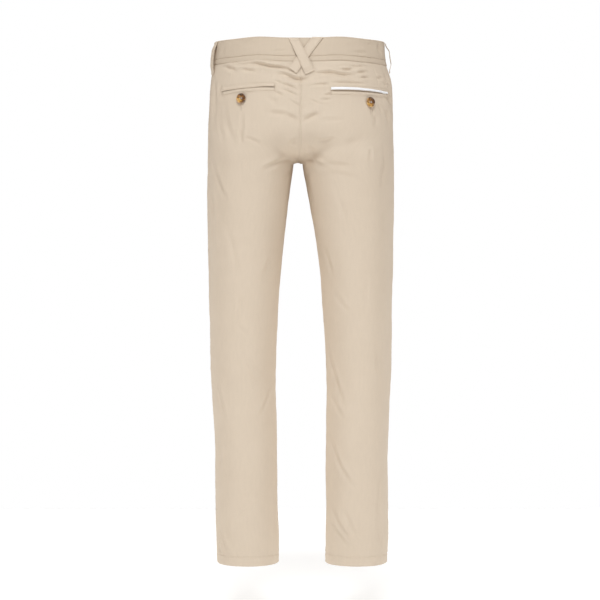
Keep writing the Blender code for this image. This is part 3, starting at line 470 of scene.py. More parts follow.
def crowded(count, strength):
    """Shares from 0 to 1 that lie closer together at both ends."""
    return 0.5 + 0.5 * np.tanh(strength * np.linspace(-1, 1, count)) / math.tanh(strength)


def superellipse(angle, roundness):
    """The unit superellipse at a polar angle."""
    cosine, sine = np.cos(angle), np.sin(angle)
    radius = (np.abs(cosine) ** roundness + np.abs(sine) ** roundness) ** (-1 / roundness)
    return radius * cosine, radius * sine


def unit(vectors):
    """Vectors scaled to length 1."""
    return vectors / np.maximum(np.linalg.norm(vectors, axis=-1, keepdims=True), 1e-12)


def normals_of(points):
    """Normals of a grid of points, from its neighbours along rows and columns."""
    return unit(np.cross(np.gradient(points, axis=1), np.gradient(points, axis=0)))


def row_lengths(points):
    """Distances along each row of a grid from its first column."""
    steps = np.linalg.norm(np.diff(points, axis=1), axis=-1)
    return np.concatenate([np.zeros((len(points), 1)), np.cumsum(steps, axis=1)], axis=1)


def column_lengths(points):
    """Distances up each column of a grid from its first row."""
    return row_lengths(points.transpose(1, 0, 2)).T


def line_lengths(line):
    """Distances along a line of points from its first."""
    return row_lengths(line[None])[0]


def along(distance, lengths, line):
    """The place at a distance along a line of points."""
    return np.stack([np.interp(distance, lengths, line[:, k]) for k in range(3)])


def swell(points, size, seed):
    """An uneven field, about -1 to 1, whose hills are about size apart."""
    random = np.random.default_rng(seed)
    total = 0
    for _ in range(7):
        direction = unit(random.normal(size=3))
        pitch = size * random.uniform(0.7, 1.5)
        total = total + np.sin(points @ direction * 2 * math.pi / pitch + random.uniform(0, 6.28))
    return total / 3.2


def waves(distance, pitch, points, wander, size, seed):
    """Small waves of an uneven pitch along a distance."""
    return np.sin(distance * 2 * math.pi / pitch + wander * swell(points, size, seed))


def slackness(points):
    """How far worn cloth stands out or sinks by itself."""
    return 0.0007 * swell(points, 0.085, 3) + 0.00025 * swell(points, 0.030, 8)


# ---------------------------------------------------------------- the body's surface


def edge_lift(angle):
    """How far the waist's edges rise or dip at an angle round the body."""
    x = read(BODY, "half_width", 0.0) * np.cos(angle)
    wave = BACK_WAVE * bump(np.abs(x) - BACK_WAVE_X, BACK_WAVE_WIDTH)
    depth = np.sin(angle)
    return np.where(depth > 0, wave * smooth(depth / 0.5), -FRONT_DIP * depth**2)


def section(table, angle, z):
    """A cross-section's x as a share of its half width, and its y, at a polar angle."""
    x, y = superellipse(angle, read(table, "roundness", z))
    front, back = read(table, "front", z), read(table, "back", z)
    return x, (back - front) / 2 + (back + front) / 2 * y


def hip_ring(angle, z):
    """The panels' outer face at an angle round the hips."""
    x, y = section(BODY, angle, z)
    x = read(BODY, "half_width", z) * x + read(BODY, "sway", z)
    return np.stack([x, y, z + 0 * x], axis=-1)


def hip_normal(angle, z):
    """The hips' outward normal."""
    angle, z = np.broadcast_arrays(angle, z)
    small = 1e-4
    around = hip_ring(angle + small, z) - hip_ring(angle - small, z)
    upward = hip_ring(angle, z + small) - hip_ring(angle, z - small)
    return unit(np.cross(around, upward))


def hip_point(angle, z, out=0.0):
    """A point that stands out from the hips' outer face, along the face's own normal."""
    angle, z, out = np.broadcast_arrays(angle, z, out)
    return hip_ring(angle, z) + hip_normal(angle, z) * out[..., None]


def back_angle(x, z):
    """The angle round the hips of a point of the back with that x."""
    side = (x - read(BODY, "sway", z)) / read(BODY, "half_width", z)
    roundness = read(BODY, "roundness", z)
    return np.arctan2((1 - np.abs(side) ** roundness) ** (1 / roundness), side)


def crotch_curve(s):
    """How far back and up the centre seam has come from the fork at a station, from 0 to 1."""
    rise = np.clip((s - FORK_S) / (1 - FORK_S), 0, 1) * math.pi / 2
    level, ahead = superellipse(rise, CROTCH_ROUNDNESS)
    return ahead, 1 - level


def panel_points(side, face, u, s):
    """The smooth outer face of a back (face 1) or front (-1) panel on the left (side 1) or right (-1).

    u runs from the side seam (0) to the inseam and crotch seam (1), and on past the centre seam.
    s runs from the hem (-1) to the top of the leg (0), the fork (FORK_S), the top of the crotch
    curve (1) and the panel's top edge (2).
    """
    past = u > 1
    u = np.where(past, 2 - u, u)
    arch = np.clip(s / FORK_S, 0, 1) * math.pi / 2
    ahead, risen = crotch_curve(s)
    outer_z = np.interp(s, SIDE_STATIONS[:3], SIDE_HEIGHTS[:3])
    leg_inner_z = HEM_Z + (1 + s) * (FORK_Z - ARCH_RISE - HEM_Z)
    seat_inner_z = FORK_Z - ARCH_RISE * (1 - np.sin(arch)) + (SEAT_Z - FORK_Z) * risen
    inner_z = np.where(s < 0, leg_inner_z, seat_inner_z)
    z = outer_z + u**INNER_REACH * (inner_z - outer_z)

    name = "left" if side > 0 else "right"
    turn, inseam_turn = read(TURNS, name + "_side", z), read(TURNS, name + "_inseam", z)
    hip_angle = turn + u * (face * math.pi / 2 - turn)
    leg_angle = turn + u * (face * math.pi - inseam_turn - turn)
    hip_z = SEAT_Z + (s - 1) * (PANEL_TOP + edge_lift(hip_angle) - SEAT_Z)
    dip = HEM_DIP * np.clip(np.sin(leg_angle), 0, 1) * np.clip(-s, 0, 1) ** 12
    z = np.where(s > 1, hip_z, z - dip)

    outer = read(BODY, "half_width", z)
    gap, shift = read(LEG, "gap", z), side * read(LEG, "gap_shift", z)
    leg_x, leg_y = section(LEG, leg_angle, z)
    leg_x = (outer + gap + shift) / 2 + (outer - gap - shift) / 2 * leg_x
    leg_x -= gap * smooth((u - PULL_FROM) / (1 - PULL_FROM)) * (1 - np.cos(arch))
    hip_x, hip_y = section(BODY, hip_angle, z)

    blend = np.where(s > 1, 1, ahead ** (1 + SEAT_LAG * (1 - u)))
    x = (1 - blend) * leg_x + blend * outer * hip_x
    y = (1 - blend) * leg_y + blend * hip_y
    x = side * np.where(past, -x, x) + read(BODY, "sway", z)
    return np.stack([x, y, z], axis=-1)


def side_height(s):
    """The height of the side seam at a station."""
    return np.interp(s, SIDE_STATIONS, SIDE_HEIGHTS)


def side_station(z):
    """The station where the side seam is at height z."""
    return np.interp(z, SIDE_HEIGHTS, SIDE_STATIONS)


def fly_share(s):
    """How much of the fly's lap there is at a station, from 0 below it to 1."""
    curve = FORK_Z + (SEAT_Z - FORK_Z) * crotch_curve(s)[1]
    height = np.where(s > 1, SEAT_Z + (s - 1) * (PANEL_TOP - SEAT_Z), curve)
    return smooth((np.where(s > FORK_S, height, FORK_Z) - FLY_BOTTOM_Z) / FLY_TAPER)


def mouth_share(s):
    """How far in from the side seam the front pocket's mouth is at a station, as a step of u."""
    up = np.clip((side_height(s) - MOUTH_LOW_Z) / (PANEL_TOP - MOUTH_LOW_Z), 0, 1)
    return up * MOUTH_SET / QUARTER_ARC


def opening(name, t):
    """x and z of a back pocket's opening at a share of its length from its inner end."""
    (x, z), (outer_x, outer_z), bow = POCKETS[name]
    return x + t * (outer_x - x), z + t * (outer_z - z) + bow * 4 * t * (1 - t)


def pocket_hollow(points, name):
    """How far the back sinks along its pocket's opening."""
    (x, _), (outer_x, _), _ = POCKETS[name]
    t = (points[..., 0] - x) / (outer_x - x)
    inside = smooth(t / 0.03) * smooth((1 - t) / 0.03)
    return HOLLOW_DEPTH * inside * bump(points[..., 2] - opening(name, t)[1] - 0.0008, HOLLOW_WIDTH)


# ---------------------------------------------------------------- creases


def rounded_path(corners):
    """The corners of a path with the bends cut round, its ends staying in place."""
    path = np.array(corners, float).reshape(-1, 2)
    for _ in range(3):
        near, far = path[:-1] * 0.75 + path[1:] * 0.25, path[:-1] * 0.25 + path[1:] * 0.75
        path = np.concatenate([path[:1], np.stack([near, far], axis=1).reshape(-1, 2), path[-1:]])
    return path


def place_on_path(points, path):
    """How far points lie above a path, or below it if negative, and the share of its length."""
    run = np.diff(path, axis=0)
    lengths = np.linalg.norm(run, axis=-1)
    offset = points[:, None] - path[:-1]
    t = np.clip((offset * run).sum(axis=-1) / lengths**2, 0, 1)
    away = np.linalg.norm(offset - t[..., None] * run, axis=-1)
    nearest = away.argmin(axis=1)
    row = np.arange(len(nearest))
    side = np.sign(offset[..., 1] * run[:, 0] - offset[..., 0] * run[:, 1])[row, nearest]
    side = side * math.copysign(1, (path[-1] - path[0])[0] or 1)
    gone = np.concatenate([[0], np.cumsum(lengths)])
    share = (gone[nearest] + t[row, nearest] * lengths[nearest]) / gone[-1]
    return side * away[row, nearest], share


def crease_push(x, z, creases):
    """How far a table of creases moves each point outwards, its troughs being negative."""
    x, z = np.broadcast_arrays(x, z)
    push = np.zeros(x.shape)
    for half_width, depth, ridge, *corners in creases:
        width = half_width / 1000
        path = rounded_path(corners) / 1000
        low, high = path.min(axis=0) - 5 * width, path.max(axis=0) + 5 * width
        near = (x > low[0]) & (x < high[0]) & (z > low[1]) & (z < high[1])
        above, share = place_on_path(np.stack([x[near], z[near]], axis=-1), path)
        full = smooth(share / CREASE_FADE) * smooth((1 - share) / CREASE_FADE)
        strength = depth / 1000 * (CREASE_END + (1 - CREASE_END) * full)
        raised = bump(above - 1.9 * width, 1.3 * width) + 0.5 * bump(above + 2.0 * width, 1.4 * width)
        push[near] += strength * (ridge * raised - bump(above, width))
    return push


# ---------------------------------------------------------------- meshes


def new_object(name, points, faces, finish, replaced=None, uvs=None):
    """A smooth-shaded mesh that rides on the garment's one body, with its material."""
    material, slot = finish
    mesh = bpy.data.meshes.new(name)
    mesh.from_pydata(np.asarray(points).tolist(), [], faces)
    mesh.materials.append(material)
    if uvs is not None:
        layer = mesh.uv_layers.new(name="cut")
        corners = np.zeros(len(mesh.loops), int)
        mesh.loops.foreach_get("vertex_index", corners)
        layer.data.foreach_set("uv", np.asarray(uvs)[corners].ravel())
    mesh.shade_smooth()
    made = bpy.data.objects.new(name, mesh)
    bpy.context.scene.collection.objects.link(made)
    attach(made, "root")
    if replaced:
        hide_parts(replaced)
    return made


def grid_faces(rows, columns, first, flip):
    """Quads of a grid of points, as a list."""
    ids = first + np.arange(rows * columns).reshape(rows, columns)
    quads = np.stack([ids[:-1, :-1], ids[:-1, 1:], ids[1:, 1:], ids[1:, :-1]], axis=-1).reshape(-1, 4)
    return (quads[:, ::-1] if flip else quads).tolist()


def shell(name, outer, inner, finish, replaced, turned=False):
    """A closed thin wall between two grids of points; its UVs are the cloth's own metres."""
    rows, columns = outer.shape[:2]
    below = rows * columns
    faces = grid_faces(rows, columns, 0, turned) + grid_faces(rows, columns, below, not turned)
    ids = np.arange(below).reshape(rows, columns)
    rim = [*ids[0, :-1], *ids[:-1, -1], *ids[-1, :0:-1], *ids[:0:-1, 0]]
    for a, b in zip(rim, rim[1:] + rim[:1]):
        side = (int(b), int(a), int(a) + below, int(b) + below)
        faces.append(side[::-1] if turned else side)
    points = np.concatenate([outer.reshape(-1, 3), inner.reshape(-1, 3)])
    width = row_lengths(outer)
    width = width - width[:, columns // 2][:, None]
    uvs = np.stack([width, column_lengths(outer)], axis=-1).reshape(-1, 2)
    return new_object(name, points, faces, finish, replaced, np.concatenate([uvs, uvs]))


def round_edges(outer, inner, distance, radius):
    """Bring two faces of a wall together near its free edges, so that these are round."""
    near = np.clip(1 - distance / radius, 0, 1)
    share = (1 - np.sqrt(1 - 0.96 * near**2))[..., None] * 0.96
    middle = (outer + inner) / 2
    return outer + (middle - outer) * share, inner + (middle - inner) * share


def edge_distance(points):
    """Distance of each point of a grid to the grid's nearest edge, along rows and columns."""
    across, up = row_lengths(points), column_lengths(points)
    ends = np.minimum(across, across[:, -1:] - across)
    return np.minimum(ends, np.minimum(up, up[-1:] - up))


def circle(centre, right, up, radius, sides):
    """A ring of points round a centre, in the plane of two directions."""
    turns = np.arange(sides)[:, None] * 2 * math.pi / sides
    return centre + radius * (np.cos(turns) * right + np.sin(turns) * up)


def ring_faces(count, sides, first=0, closed=False):
    """Quads between rings of points, from the last ring to the first too if closed."""
    faces = []
    for k in range(count if closed else count - 1):
        a, b = first + k * sides, first + (k + 1) % count * sides
        for i in range(sides):
            j = (i + 1) % sides
            faces.append((a + i, a + j, b + j, b + i))
    return faces


def fan(tip, first, sides, flip=False):
    """Triangles from a tip to a ring of points."""
    ring = [first + i for i in range(sides)]
    pairs = zip(ring[1:] + ring[:1], ring) if flip else zip(ring, ring[1:] + ring[:1])
    return [(tip, a, b) for a, b in pairs]


# ---------------------------------------------------------------- panels


def row_stations():
    """Stations of the panels' rows, closer at the hem, over the seat and at the back pockets."""
    fine = side_station(HEM_Z + 0.026)
    hem = np.linspace(-1, fine, 27)
    leg = np.linspace(fine, 0, 176)[1:]
    arch = np.linspace(0, FORK_S, 6)[1:]
    seat = np.linspace(FORK_S, 1, 71)[1:]
    below = np.arange(SEAT_Z + 0.0018, -0.0945, 0.0018)
    pockets = np.arange(-0.0938, -0.0740, 0.0007)
    above = np.arange(-0.0735, PANEL_TOP - 0.0008, 0.0013)
    hips = side_station(np.concatenate([below, pockets, above, (PANEL_TOP,)]))
    return np.concatenate([hem, leg, arch, seat, hips])


STATIONS = row_stations()
FORK_ROW = int(np.argmin(np.abs(STATIONS - FORK_S)))


def back_shares(name):
    """Shares of a back's width, closer at its edges and over its dart."""
    dart = DARTS[name][0] + np.array((-3, -1.5, -0.75, 0, 0.75, 1.5, 3)) * DART_WIDTH
    return np.sort(np.concatenate([crowded(112, 1.5), dart]))


def dart_depth(points, u, name):
    """How far the back sinks at its dart, above the dart's foot."""
    share, foot, depth = DARTS[name]
    return depth * smooth((points[..., 2] - foot) / 0.02) * bump((u - share) / DART_WIDTH, 1.1)


def seam_depth(points, from_side, to_centre):
    """How far a panel sinks into its seams, puckering beside them."""
    below_top = column_lengths(points)[-1:] - column_lengths(points)
    sides = bump(from_side, SEAM_WIDTH) + bump(to_centre, SEAM_WIDTH)
    sunk = SEAM_DEPTH * np.maximum(sides, 1.4 * bump(below_top, SEAM_WIDTH))
    ripples = waves(points[..., 2], PUCKER_PITCH, points, 2.5, 0.03, 6)
    ripples = ripples * (0.5 + 0.5 * swell(points, 0.05, 5))
    beside = bump(from_side, PUCKER_WIDTH) + bump(to_centre, PUCKER_WIDTH)
    return sunk - PUCKER_DEPTH * ripples * beside


def hem_depth(points, from_side, height):
    """How far the cloth sinks along the hem's stitches, roping below and above them."""
    ripples = waves(from_side, ROPE_PITCH, points, 2.0, 0.04, 9)
    above = height - HEM_HEIGHT
    return HEM_SINK * bump(above, HEM_SINK_WIDTH) - ROPE_DEPTH * ripples * bump(above, ROPE_WIDTH)


def make_panel(side, name, face):
    """The points of one panel's outer face with its creases, and what else is made from them."""
    s = STATIONS[:, None]
    if face > 0:
        shares = back_shares(name)
        u = shares + 0 * s
    else:
        shares = crowded(80, 1.5)
        reach = LAP_WIDTH if side > 0 else -RIGHT_SETBACK
        start, end = mouth_share(s), 1 + fly_share(s) * reach / CENTRE_REACH
        u = start + shares * (end - start)
    points = panel_points(side, face, u, s + 0 * u)
    normals = normals_of(points) * side * face
    from_side = row_lengths(points)
    to_centre = from_side[:, -1:] - from_side
    height = np.maximum(side_height(s) - HEM_Z, 0) + 0 * u

    push = crease_push(points[..., 0], points[..., 2], BACK_CREASES if face > 0 else FRONT_CREASES)
    push = push * smooth(from_side / 0.012) * np.where(s < FORK_S, smooth(to_centre / 0.010), 1)
    push = push + slackness(points)
    push = push - seam_depth(points, from_side, to_centre) - hem_depth(points, from_side, height)
    if face > 0:
        push = push - dart_depth(points, u, name) - pocket_hollow(points, name)
    elif side > 0:
        push = push + fly_share(s) * np.interp(to_centre, LAP_PROFILE, LAP_OUT)
    points = points + normals * push[..., None]
    points[-1] += np.array((0, 0, TUCK)) - TUCK_DEPTH * normals[-1]
    return {
        "name": ("back_" if face > 0 else "front_") + name,
        "shares": shares,
        "points": points,
        "wall": np.interp(height, (HEM_HEIGHT, HEM_HEIGHT + HEM_STEP), (HEM_WALL, PANEL_WALL)),
        "height": height,
        "from_side": from_side,
        "to_centre": to_centre,
    }


def weld(first, second, rows, column):
    """Make two panels' shared edge one line of points."""
    mean = (first["points"][rows, column] + second["points"][rows, column]) / 2
    first["points"][rows, column] = mean
    second["points"][rows, column] = mean


def make_panels():
    """All four panels with their seams closed, by side and face."""
    panels = {(side, face): make_panel(side, name, face) for side, name in SIDES for face in (1, -1)}
    mouth = int(np.argmax(side_height(STATIONS) > MOUTH_LOW_Z))
    fly = int(np.argmax(fly_share(STATIONS) > 0))
    for side, _ in SIDES:
        weld(panels[side, 1], panels[side, -1], slice(0, mouth), 0)
        weld(panels[side, 1], panels[side, -1], slice(0, FORK_ROW + 1), -1)
    weld(panels[1, 1], panels[-1, 1], slice(FORK_ROW, None), -1)
    weld(panels[1, -1], panels[-1, -1], slice(FORK_ROW, fly), -1)
    fork = sum(panel["points"][FORK_ROW, -1] for panel in panels.values()) / 4
    for (side, face), panel in panels.items():
        panel["points"][FORK_ROW, -1] = fork
        panel["normals"] = normals_of(panel["points"]) * side * face
    return panels


PANELS = make_panels()


def at(panel, share, s):
    """Points and normals of a panel's finished face at shares of its width and stations."""
    rows = np.interp(s, STATIONS, np.arange(len(STATIONS)))
    columns = np.interp(share, panel["shares"], np.arange(len(panel["shares"])))
    rows, columns = np.broadcast_arrays(rows, columns)
    r = np.clip(rows.astype(int), 0, len(STATIONS) - 2)
    c = np.clip(columns.astype(int), 0, len(panel["shares"]) - 2)
    a, b = (rows - r)[..., None], (columns - c)[..., None]
    found = []
    for field in ("points", "normals"):
        grid = panel[field]
        low = grid[r, c] * (1 - b) + grid[r, c + 1] * b
        high = grid[r + 1, c] * (1 - b) + grid[r + 1, c + 1] * b
        found.append(low * (1 - a) + high * a)
    return found[0], unit(found[1])


def back_place(x, z):
    """Points and outward directions of the finished backs at x and z, over the hips."""
    x, z = np.broadcast_arrays(x, z)
    angle = back_angle(x, z)
    found = []
    for side, name in SIDES:
        local = angle if side > 0 else math.pi - angle
        turn = read(TURNS, name + "_side", z)
        u = np.clip((local - turn) / (math.pi / 2 - turn), 0, 1)
        s = 1 + (z - SEAT_Z) / (PANEL_TOP + edge_lift(local) - SEAT_Z)
        found.append(at(PANELS[side, 1], u, np.clip(s, 0, 2)))
    left = (angle < math.pi / 2)[..., None]
    return np.where(left, found[0][0], found[1][0]), np.where(left, found[0][1], found[1][1])


def relief(x, z):
    """How far the finished backs stand out from their smooth form at x and z."""
    angle = back_angle(x, z)
    return ((back_place(x, z)[0] - hip_point(angle, z)) * hip_normal(angle, z)).sum(axis=-1)


# ---------------------------------------------------------------- materials

TWILL_PITCH = 0.0011
TWILL_SLANT = 1.15  # how steeply the ribs rise


def node(tree, kind, inputs=(), **settings):
    """A shader node with its inputs set to values or linked to sockets."""
    made = tree.nodes.new(kind)
    for key, value in settings.items():
        setattr(made, key, value)
    for key, value in dict(inputs).items():
        if isinstance(value, bpy.types.NodeSocket):
            tree.links.new(value, made.inputs[key])
        else:
            made.inputs[key].default_value = value
    return made


def maths(tree, operation, first, second=0.0, third=0.0):
    """The output of a Math node."""
    return node(tree, "ShaderNodeMath", {0: first, 1: second, 2: third}, operation=operation).outputs[0]


def mixed(tree, share, first, second, blend="MIX"):
    """The output of a colour Mix node."""
    inputs = {0: share, 6: first, 7: second}
    return node(tree, "ShaderNodeMix", inputs, data_type="RGBA", blend_type=blend).outputs[2]


def noise(tree, where, scale, detail=2, distortion=0.0):
    """The grey output of a Noise Texture node."""
    inputs = {"Vector": where, "Scale": scale, "Detail": detail, "Distortion": distortion}
    return node(tree, "ShaderNodeTexNoise", inputs).outputs[0]


def ranged(tree, value, low, high, start=0.0, end=1.0):
    """A value's way from start to end, made a way from low to high."""
    return node(tree, "ShaderNodeMapRange", {0: value, 1: start, 2: end, 3: low, 4: high}).outputs[0]


def object_place(tree):
    """The object coordinates."""
    return node(tree, "ShaderNodeTexCoord").outputs["Object"]


def new_material(name, roughness, **values):
    """A Principled material with these values, its node tree and its shader's inputs."""
    made = bpy.data.materials.new(name)
    made.use_nodes = True
    inputs = made.node_tree.nodes["Principled BSDF"].inputs
    inputs["Roughness"].default_value = roughness
    for key, value in values.items():
        inputs[key.replace("_", " ")].default_value = value
    return made, made.node_tree, inputs


def cloth_material(name, colour, shade, sheen=0.0, weave_depth=0.00012):
    """Cotton twill: diagonal ribs over fine yarns, with slight unevenness of colour."""
    made, tree, shader = new_material(name, 0.80, Sheen_Weight=sheen, Sheen_Roughness=0.45,
                                      Specular_IOR_Level=0.25)
    place = node(tree, "ShaderNodeUVMap", uv_map="cut").outputs[0]
    parts = node(tree, "ShaderNodeSeparateXYZ", {0: place}).outputs
    diagonal = maths(tree, "MULTIPLY_ADD", parts[0], TWILL_SLANT, parts[1])
    rib = maths(tree, "SINE", maths(tree, "MULTIPLY", diagonal, 2 * math.pi / TWILL_PITCH))
    rib = maths(tree, "MULTIPLY_ADD", rib, 0.5, 0.5)
    stretched = node(tree, "ShaderNodeMapping", {0: place, 3: (1.0, 0.18, 1.0)}).outputs[0]
    yarns = noise(tree, stretched, 1500)
    streaks = noise(tree, stretched, 220, 3)
    clouds = noise(tree, object_place(tree), 16, 3)
    tone = mixed(tree, maths(tree, "MULTIPLY", clouds, 0.55), (*colour, 1), (*shade, 1))
    fine = maths(tree, "ADD", maths(tree, "MULTIPLY_ADD", rib, 0.5, yarns), streaks)
    light = ranged(tree, fine, 0.94, 1.03, 0.55, 1.9)
    grey = node(tree, "ShaderNodeCombineColor", {0: light, 1: light, 2: light}).outputs[0]
    tree.links.new(mixed(tree, 1.0, tone, grey, "MULTIPLY"), shader["Base Color"])
    tree.links.new(ranged(tree, streaks, 0.72, 0.88), shader["Roughness"])
    height = maths(tree, "MULTIPLY_ADD", rib, 0.7, yarns)
    raised = node(tree, "ShaderNodeBump", {"Height": height, "Distance": weave_depth, "Strength": 0.6})
    tree.links.new(raised.outputs[0], shader["Normal"])
    return made


def thread_material(name, colour):
    """Sewing thread, lightly twisted."""
    made, tree, shader = new_material(name, 0.6)
    strands = noise(tree, object_place(tree), 900)
    dark = (*(0.78 * c for c in colour), 1)
    tree.links.new(mixed(tree, strands, dark, (*colour, 1)), shader["Base Color"])
    raised = node(tree, "ShaderNodeBump", {"Height": strands, "Distance": 0.0001})
    tree.links.new(raised.outputs[0], shader["Normal"])
    return made


def horn_material():
    """Polished horn: brown clouds and streaks in amber under a gloss, with a painted glow: amber towards
    the lower left and dark towards the upper right, as if lit through from the upper right.
    """
    made, tree, shader = new_material("polished_horn", 0.28, Coat_Weight=0.5, Coat_Roughness=0.12,
                                      Subsurface_Weight=0.15, Subsurface_Scale=0.002)
    placing = {0: object_place(tree), 2: (0.2, 0.4, 0.5), 3: (1.0, 1.0, 2.2)}
    bent = node(tree, "ShaderNodeMapping", placing).outputs[0]
    clouds = noise(tree, bent, 110, 4, 0.8)
    face = node(tree, "ShaderNodeUVMap", uv_map="cut").outputs[0]
    # painted glow: this pushes the ramp towards amber at the face's lower left, standing for light shining
    # through the horn
    painted_glow = node(tree, "ShaderNodeVectorMath", {0: face, 1: (-0.16, -0.13, 0)}, operation="DOT_PRODUCT")
    ramp = node(tree, "ShaderNodeValToRGB", {0: maths(tree, "ADD", clouds, painted_glow.outputs["Value"])})
    stops = ramp.color_ramp.elements
    stops[0].position, stops[0].color = 0.32, (0.045, 0.018, 0.008, 1)
    stops[1].position, stops[1].color = 0.68, (0.62, 0.36, 0.10, 1)
    stops.new(0.5).color = (0.22, 0.095, 0.028, 1)
    tree.links.new(ramp.outputs[0], shader["Base Color"])
    return made


def brass_material():
    """Aged brass with fine scratches and darker patches."""
    made, tree, shader = new_material("aged_brass_worn", 0.35, Metallic=1.0)
    patches = noise(tree, object_place(tree), 260, 4)
    tone = mixed(tree, patches, (0.28, 0.19, 0.09, 1), (0.62, 0.47, 0.24, 1))
    tree.links.new(tone, shader["Base Color"])
    tree.links.new(ranged(tree, patches, 0.25, 0.5), shader["Roughness"])
    return made


BEIGE, BEIGE_SHADE = (0.668, 0.562, 0.446), (0.618, 0.512, 0.396)
# Painted shade: the waistband's and strip's cloth is made darker than the rest, to stand for the shade on
# the band
SHADED_BAND_BEIGE, SHADED_BAND_BEIGE_DARKER = (0.615, 0.512, 0.400), (0.575, 0.472, 0.360)
NATURAL, NATURAL_SHADE = (0.74, 0.68, 0.58), (0.66, 0.60, 0.50)
BLEACHED, BLEACHED_SHADE = (0.93, 0.93, 0.94), (0.88, 0.88, 0.90)
FINE_WEAVE = 0.00008

# Finishes: a material and the record's slot that it stands for
TWILL = cloth_material("cotton_twill", BEIGE, BEIGE_SHADE), "beige_twill"
# painted shade on the waistband and strip, as a darker cloth colour
TWILL_SHADED_BAND = cloth_material("cotton_twill_painted_shade", SHADED_BAND_BEIGE, SHADED_BAND_BEIGE_DARKER), "beige_twill"
POCKETING = (cloth_material("cotton_pocketing", NATURAL, NATURAL_SHADE, 0.1, FINE_WEAVE),
             "pocketing_cotton")
WHITE = (cloth_material("white_cotton_twill", BLEACHED, BLEACHED_SHADE, 0.15, FINE_WEAVE),
         "white_cotton")
THREAD_BEIGE = thread_material("beige_thread", (0.66, 0.555, 0.445)), "beige_twill"
THREAD_WHITE = thread_material("white_thread", (0.85, 0.83, 0.80)), "beige_twill"
HORN = horn_material(), "brown_horn"
BRASS = brass_material(), "aged_brass"


# ---------------------------------------------------------------- stitching

STITCH_RINGS = ((-0.36, 0.85, 0.2), (0.0, 1.0, 0.55), (0.36, 0.85, 0.2))  # place, size and lift
STITCH_TIPS = (-0.5, 0.5)
STITCH_TIP_LIFT = -0.6


def stitches(name, rows):
    """Rows of stitches joined in one piece; a row is its points, their normals and the thread's radius."""
    sides = 5
    points, faces = [], []
    for line, normals, radius in rows:
        lengths = line_lengths(line)
        count = max(1, int(lengths[-1] / STITCH_PITCH))
        for middle in (np.arange(count) + 0.5) * lengths[-1] / count:
            centre = along(middle, lengths, line)
            run = along(middle + STITCH / 2, lengths, line) - along(middle - STITCH / 2, lengths, line)
            up = unit(along(middle, lengths, normals))
            side = unit(np.cross(up, run))
            first = len(points)
            for share, size, lift in STITCH_RINGS:
                place = centre + run * share + up * radius * lift
                points.extend(circle(place, side, up, radius * size, sides))
            for share in STITCH_TIPS:
                points.append(centre + run * share + up * radius * STITCH_TIP_LIFT)
            faces += ring_faces(3, sides, first)
            faces += fan(first + 3 * sides, first, sides, True)
            faces += fan(first + 3 * sides + 1, first + 2 * sides, sides)
    return new_object(name, points, faces, THREAD_BEIGE)


def laid(points, normals, lift=0.3 * THREAD, radius=THREAD):
    """A row for stitches that lie on a face."""
    return points + normals * lift, normals, radius


def on_panel(panel, shares, stations):
    """A row for stitches on a panel's finished face."""
    return laid(*at(panel, shares, stations))


def beside_seam(panel, edge, distance, stations):
    """A row for stitches at a distance from a panel's edge, which is from_side or to_centre."""
    gone, shares = panel[edge], panel["shares"]
    if edge == "to_centre":
        gone, shares = gone[:, ::-1], shares[::-1]
    line = [np.interp(distance, row, shares) for row in gone]
    return on_panel(panel, np.interp(stations, STATIONS, line), stations)


def fly_stitches(panel):
    """Two rows of stitches down the fly that curve in to the centre seam."""
    rows = []
    bend = np.linspace(math.pi / 2, 0.06, 50)
    for reach in FLY_ROWS:
        foot = FLY_BOTTOM_Z + FLY_ROWS[0] - reach
        straight = np.linspace(PANEL_TOP - 0.003, foot + FLY_BEND, 60)
        s = side_station(np.concatenate([straight, foot + FLY_BEND * (1 - np.cos(bend))]))
        distance = np.concatenate([reach + 0 * straight, reach * np.sin(bend)])
        start, end = mouth_share(s), 1 + fly_share(s) * LAP_WIDTH / CENTRE_REACH
        rows.append(on_panel(panel, (1 - distance / CENTRE_REACH - start) / (end - start), s))
    return rows


def panel_stitches(side, face, panel):
    """A panel's hem row, its topstitched seams and, on the left front, the fly's curve."""
    rows = [on_panel(panel, np.linspace(0.01, 0.99, 160), side_station(HEM_Z + HEM_ROW))]
    if face > 0:
        rows.append(beside_seam(panel, "to_centre", INSEAM_ROW, STATIONS[STATIONS < FORK_S]))
        if side > 0:
            rows.append(beside_seam(panel, "to_centre", CENTRE_ROW, STATIONS[STATIONS > FORK_S + 0.02]))
    else:
        mouth = STATIONS[side_height(STATIONS) > MOUTH_LOW_Z + 0.004]
        rows += [beside_seam(panel, "from_side", distance, mouth) for distance in MOUTH_ROWS]
        if side > 0:
            rows += fly_stitches(panel)
    return stitches("stitches_" + panel["name"], rows)


# ---------------------------------------------------------------- pieces


def add_panel(side, face, panel):
    """A back or a front with its turned-up hem."""
    outer = panel["points"]
    inner = outer - panel["normals"] * panel["wall"][..., None]
    outer, inner = round_edges(outer, inner, panel["height"], 0.0013)
    return shell("cloth_" + panel["name"], outer, inner, TWILL, panel["name"], side * face < 0)


def add_bags():
    """Pocket bags inside the backs and fronts."""
    made = []
    stations = side_station(np.linspace(BAG_BOTTOM, PANEL_TOP, 60))[:, None]
    for side, name in SIDES:
        for place, face, start, end, gap in BAGS:
            points, normals = at(PANELS[side, face], np.linspace(start, end, 40), stations)
            outer = points - normals * (PANEL_WALL + gap)
            inner = outer - normals * BAG_WALL
            made.append(shell(f"bag_{place}_{name}", outer, inner, POCKETING, f"{place}_bag_{name}",
                              side * face < 0))
    return made


